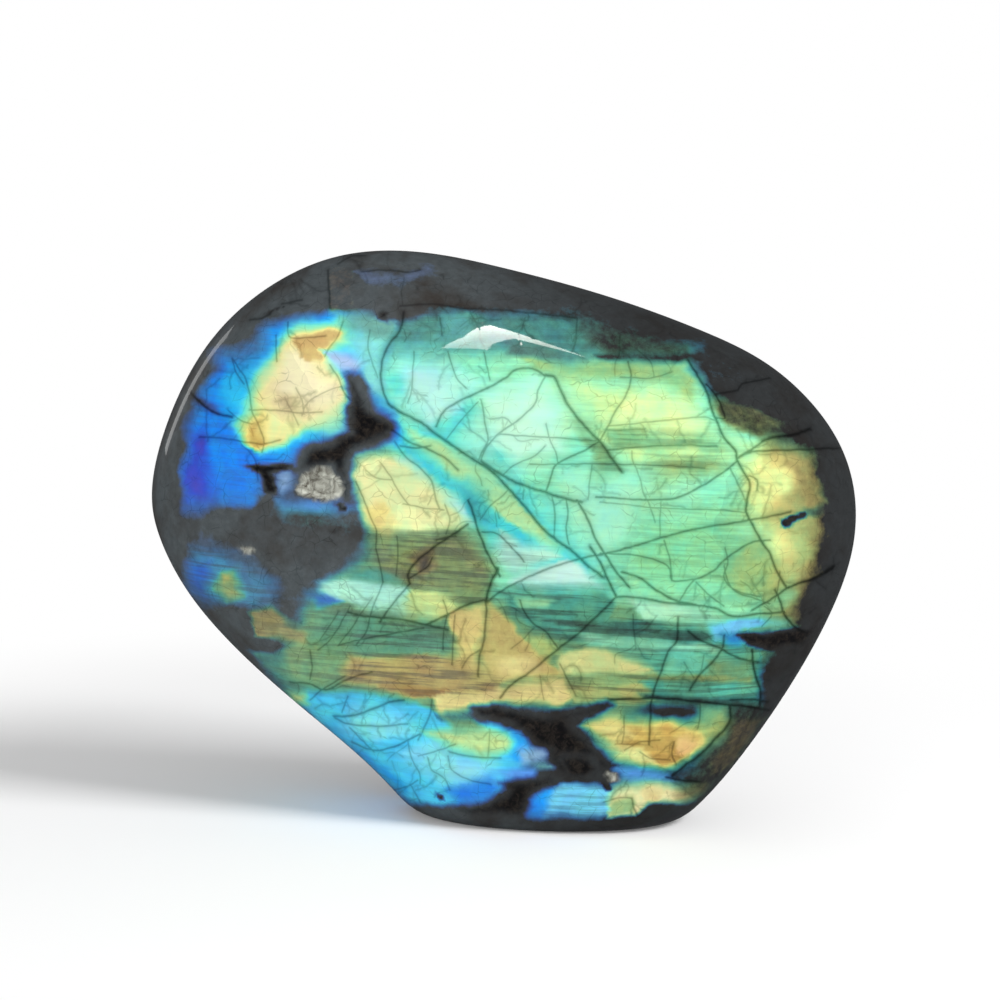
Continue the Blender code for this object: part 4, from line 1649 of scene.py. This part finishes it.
    def material(self) -> bpy.types.Material:
        """Builds the stone's material.

        Returns:
            The material.
        """
        made = bpy.data.materials.new("polished_labradorite")
        made.use_nodes = True
        tree = made.node_tree
        marks = {
            name: add_node(tree, "Attribute", attribute_name=name, attribute_type="GEOMETRY").outputs["Fac"]
            for name in (
                "flash_hue", "flash_strength", "flash_milk", "lamellae", "inclusion", "crystal", "crack"
            )
        }
        place = add_node(tree, "TexCoord").outputs["Object"]
        mm = add_node(tree, "VectorMath", {0: place, "Scale": 1 / MM}, operation="SCALE").outputs[0]
        bent = add_node(
            tree, "TexNoise", {"Vector": mm, "Scale": self.bend_per_mm, "Detail": 2.0}
        ).outputs["Color"]
        pulled = add_node(
            tree, "VectorMath", {0: bent, 1: (self.bend_mm,) * 3, 2: mm}, operation="MULTIPLY_ADD"
        ).outputs[0]
        wander = add_node(
            tree, "TexNoise", {"Vector": mm, "Scale": self.wander_per_mm, "Detail": 5.0, "Roughness": 0.6}
        ).outputs["Fac"]
        grain = add_node(
            tree, "TexNoise", {"Vector": mm, "Scale": self.grain_per_mm, "Detail": 6.0, "Roughness": 0.7}
        ).outputs["Fac"]

        band_light = self.band_light(tree, mm, marks["lamellae"])
        share = self.flash_share(tree, grain, pulled, band_light, marks["flash_strength"])
        body = self.body_colour(tree, mm, grain)
        play = self.play_colour(tree, wander, marks)
        coloured = add_node(tree, "Mix", {0: share, 6: body, 7: play}, data_type="RGBA").outputs[2]
        whole = self.with_inclusions(tree, mm, coloured, marks)
        shader = tree.nodes["Principled BSDF"]
        cracked = self.with_cracks(tree, pulled, wander, whole, marks["crack"])
        tree.links.new(cracked, shader.inputs["Base Color"])

        shader.inputs["Roughness"].default_value = self.roughness
        shader.inputs["IOR"].default_value = self.refraction
        shader.inputs["Specular IOR Level"].default_value = self.specular
        shader.inputs["Coat Weight"].default_value = self.polish
        shader.inputs["Coat Roughness"].default_value = self.polish_roughness
        shader.inputs["Coat IOR"].default_value = self.refraction
        return made


@dataclass(frozen=True)
class PaleCard:
    """Matt white card under and behind the stone, with no grain that shows."""

    colour: str = "#fafafa"
    roughness: float = 0.9
    # The card is lit from below away from the stone, as on a light table
    dark_radius: float = 0.085
    lit_radius: float = 0.16

    def material(self) -> bpy.types.Material:
        """Builds the card's material."""
        made = bpy.data.materials.new("pale_card")
        made.use_nodes = True
        tree = made.node_tree
        shader = tree.nodes["Principled BSDF"]
        shader.inputs["Base Color"].default_value = linear(self.colour)
        shader.inputs["Roughness"].default_value = self.roughness
        shader.inputs["Specular IOR Level"].default_value = 0.0
        place = add_node(tree, "TexCoord").outputs["Object"]
        away = add_node(tree, "VectorMath", {0: place}, operation="LENGTH").outputs["Value"]
        share = add_node(
            tree, "MapRange", {"Value": away, "From Min": self.dark_radius, "From Max": self.lit_radius},
            interpolation_type="SMOOTHSTEP",
        ).outputs[0]
        light = add_node(tree, "Emission", {"Color": linear("#ffffff"), "Strength": 1.0})
        both = add_node(tree, "MixShader", {0: share, 1: shader.outputs[0], 2: light.outputs[0]})
        tree.links.new(both.outputs[0], tree.nodes["Material Output"].inputs["Surface"])
        return made


class Lamp(Enum):
    """The studio's lamps: where each stands, its size in metres and its power in watts."""

    KEY = ((0.70, -0.14, 0.60), (0.34, 0.34), 6.4)
    FRONT = ((-0.34, -0.95, 0.42), (0.70, 0.70), 5.6)
    RIM = ((-0.62, 0.34, 0.22), (0.10, 0.30), 0.14)

    @property
    def place(self) -> tuple[float, float, float]:
        """Where the lamp stands."""
        return self.value[0]

    @property
    def size(self) -> tuple[float, float]:
        """The width and height of its face."""
        return self.value[1]

    @property
    def watts(self) -> float:
        """Its power."""
        return self.value[2]


@dataclass
class Studio:
    """The pale floor, the lamps, the card that shows in the polish and the light all round."""

    view: Viewpoint
    skin: StoneSkin
    floor_size: float = 6.0
    background: float = 1.0
    surround: float = 0.07
    fill: float = 0.42
    # The outline of the bent white reflection on the top bevel: pixel x and y of each corner,
    # and the share of the card's light there
    reflection: tuple[tuple[float, float, float], ...] = (
        (441, 349, 0.25), (464, 337, 0.6), (488, 325, 1.0), (520, 334, 0.7), (555, 346, 0.5), (588, 358, 0.3),
        (550, 348, 0.3), (510, 338, 0.5), (498, 345, 0.45), (485, 350, 0.3), (463, 349, 0.2),
    )
    card_distance_mm: float = 420.0
    # How far from a point of the unit sphere the skin's slope there is read
    nudge: float = 0.004
    card_strength: float = 27.0

    def add_floor(self) -> None:
        """Lays the floor under the stone."""
        half = self.floor_size / 2
        mesh = bpy.data.meshes.new("floor")
        corners = [(x * half, y * half, 0) for x, y in ((-1, -1), (1, -1), (1, 1), (-1, 1))]
        mesh.from_pydata(corners, [], [(0, 1, 2, 3)])
        mesh.materials.append(PaleCard().material())
        floor = bpy.data.objects.new("floor", mesh)
        floor.visible_glossy = False
        bpy.context.scene.collection.objects.link(floor)

    def add_lamps(self) -> None:
        """Stands the lamps round the stone, all facing its middle."""
        for lamp in Lamp:
            data = bpy.data.lights.new(lamp.name.lower(), "AREA")
            data.shape = "RECTANGLE"
            data.size, data.size_y = lamp.size
            data.energy = lamp.watts
            data.use_shadow = lamp is Lamp.KEY
            light = bpy.data.objects.new(lamp.name.lower(), data)
            light.location = lamp.place
            way = Vector((0.0, 0.0, 0.05)) - light.location
            light.rotation_mode = "QUATERNION"
            light.rotation_quaternion = way.to_track_quat("-Z", "Y")
            light.visible_glossy = lamp is Lamp.RIM
            bpy.context.scene.collection.objects.link(light)

    def add_reflected_card(self) -> None:
        """Hangs the white card whose reflection is the bent highlight on the top bevel."""
        pixels = np.array(self.reflection, float)[:, :2]
        rays = self.view.rays(pixels)
        sphere = StoneSkin.sphere_of(self.skin.chart_of(pixels))
        corners = []
        for ray, point in zip(rays, sphere):
            place = self.skin.surface(point[None])[0]
            side = np.cross(point, (0.0, 0.0, 1.0))
            side /= np.linalg.norm(side)
            rise = np.cross(side, point)
            near = self.skin.surface(np.array([point + side * self.nudge, point + rise * self.nudge]))
            normal = np.cross(near[0] - place, near[1] - place)
            normal /= np.linalg.norm(normal)
            normal *= -np.sign(normal @ ray)
            bounced = ray - 2 * (ray @ normal) * normal
            corners.append((place + bounced * self.card_distance_mm) * MM)
        mesh = bpy.data.meshes.new("reflected_card")
        mesh.from_pydata([tuple(c) for c in corners], [], [tuple(range(len(corners)))])
        glow = bpy.data.materials.new("lit_card")
        glow.use_nodes = True
        glow.node_tree.nodes.clear()
        attribute = mesh.attributes.new("glow", "FLOAT", "POINT")
        attribute.data.foreach_set("value", [c[2] * self.card_strength for c in self.reflection])
        share = add_node(glow.node_tree, "Attribute", attribute_name="glow", attribute_type="GEOMETRY")
        light = add_node(
            glow.node_tree, "Emission", {"Color": linear("#fffaf2"), "Strength": share.outputs["Fac"]}
        )
        add_node(glow.node_tree, "OutputMaterial", {"Surface": light.outputs[0]})
        mesh.materials.append(glow)
        card = bpy.data.objects.new("reflected_card", mesh)
        card.visible_camera = False
        card.visible_diffuse = False
        card.visible_shadow = False
        bpy.context.scene.collection.objects.link(card)

    def add_surround(self) -> None:
        """Lights the stone from all round, white to the eye and dim in its polish."""
        world = bpy.data.worlds.new("studio")
        world.use_nodes = True
        tree = world.node_tree
        tree.nodes.clear()
        rays = add_node(tree, "LightPath")
        seen = add_node(tree, "Background", {"Color": linear("#ffffff"), "Strength": self.background})
        dim = add_node(tree, "Background", {"Color": linear("#e8eef2"), "Strength": self.surround})
        soft = add_node(tree, "Background", {"Color": linear("#ffffff"), "Strength": self.fill})
        lit = add_node(
            tree, "MixShader", {0: rays.outputs["Is Glossy Ray"], 1: soft.outputs[0], 2: dim.outputs[0]}
        )
        both = add_node(
            tree, "MixShader", {0: rays.outputs["Is Camera Ray"], 1: lit.outputs[0], 2: seen.outputs[0]}
        )
        add_node(tree, "OutputWorld", {"Surface": both.outputs[0]})
        bpy.context.scene.world = world

    def build(self) -> None:
        """Builds the studio and sets plain colours for the picture."""
        self.add_floor()
        self.add_lamps()
        self.add_reflected_card()
        self.add_surround()
        bpy.context.scene.view_settings.view_transform = "Standard"


def main() -> None:
    """Builds the stone and the studio round it."""
    logging.basicConfig(level=logging.INFO, format="%(name)s: %(message)s")
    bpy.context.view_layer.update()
    view = Viewpoint()
    view.add_camera()
    skin = StoneSkin(StoneForm(), view)
    stone = skin.build(PolishedLabradorite().material())
    LOG.info("%s: %d triangles", stone.name, len(stone.data.polygons))
    Studio(view, skin).build()
    LOG.info("studio: floor, %d lamps and a card", len(Lamp))
    bpy.context.view_layer.update()


if __name__ == "__main__":
    main()
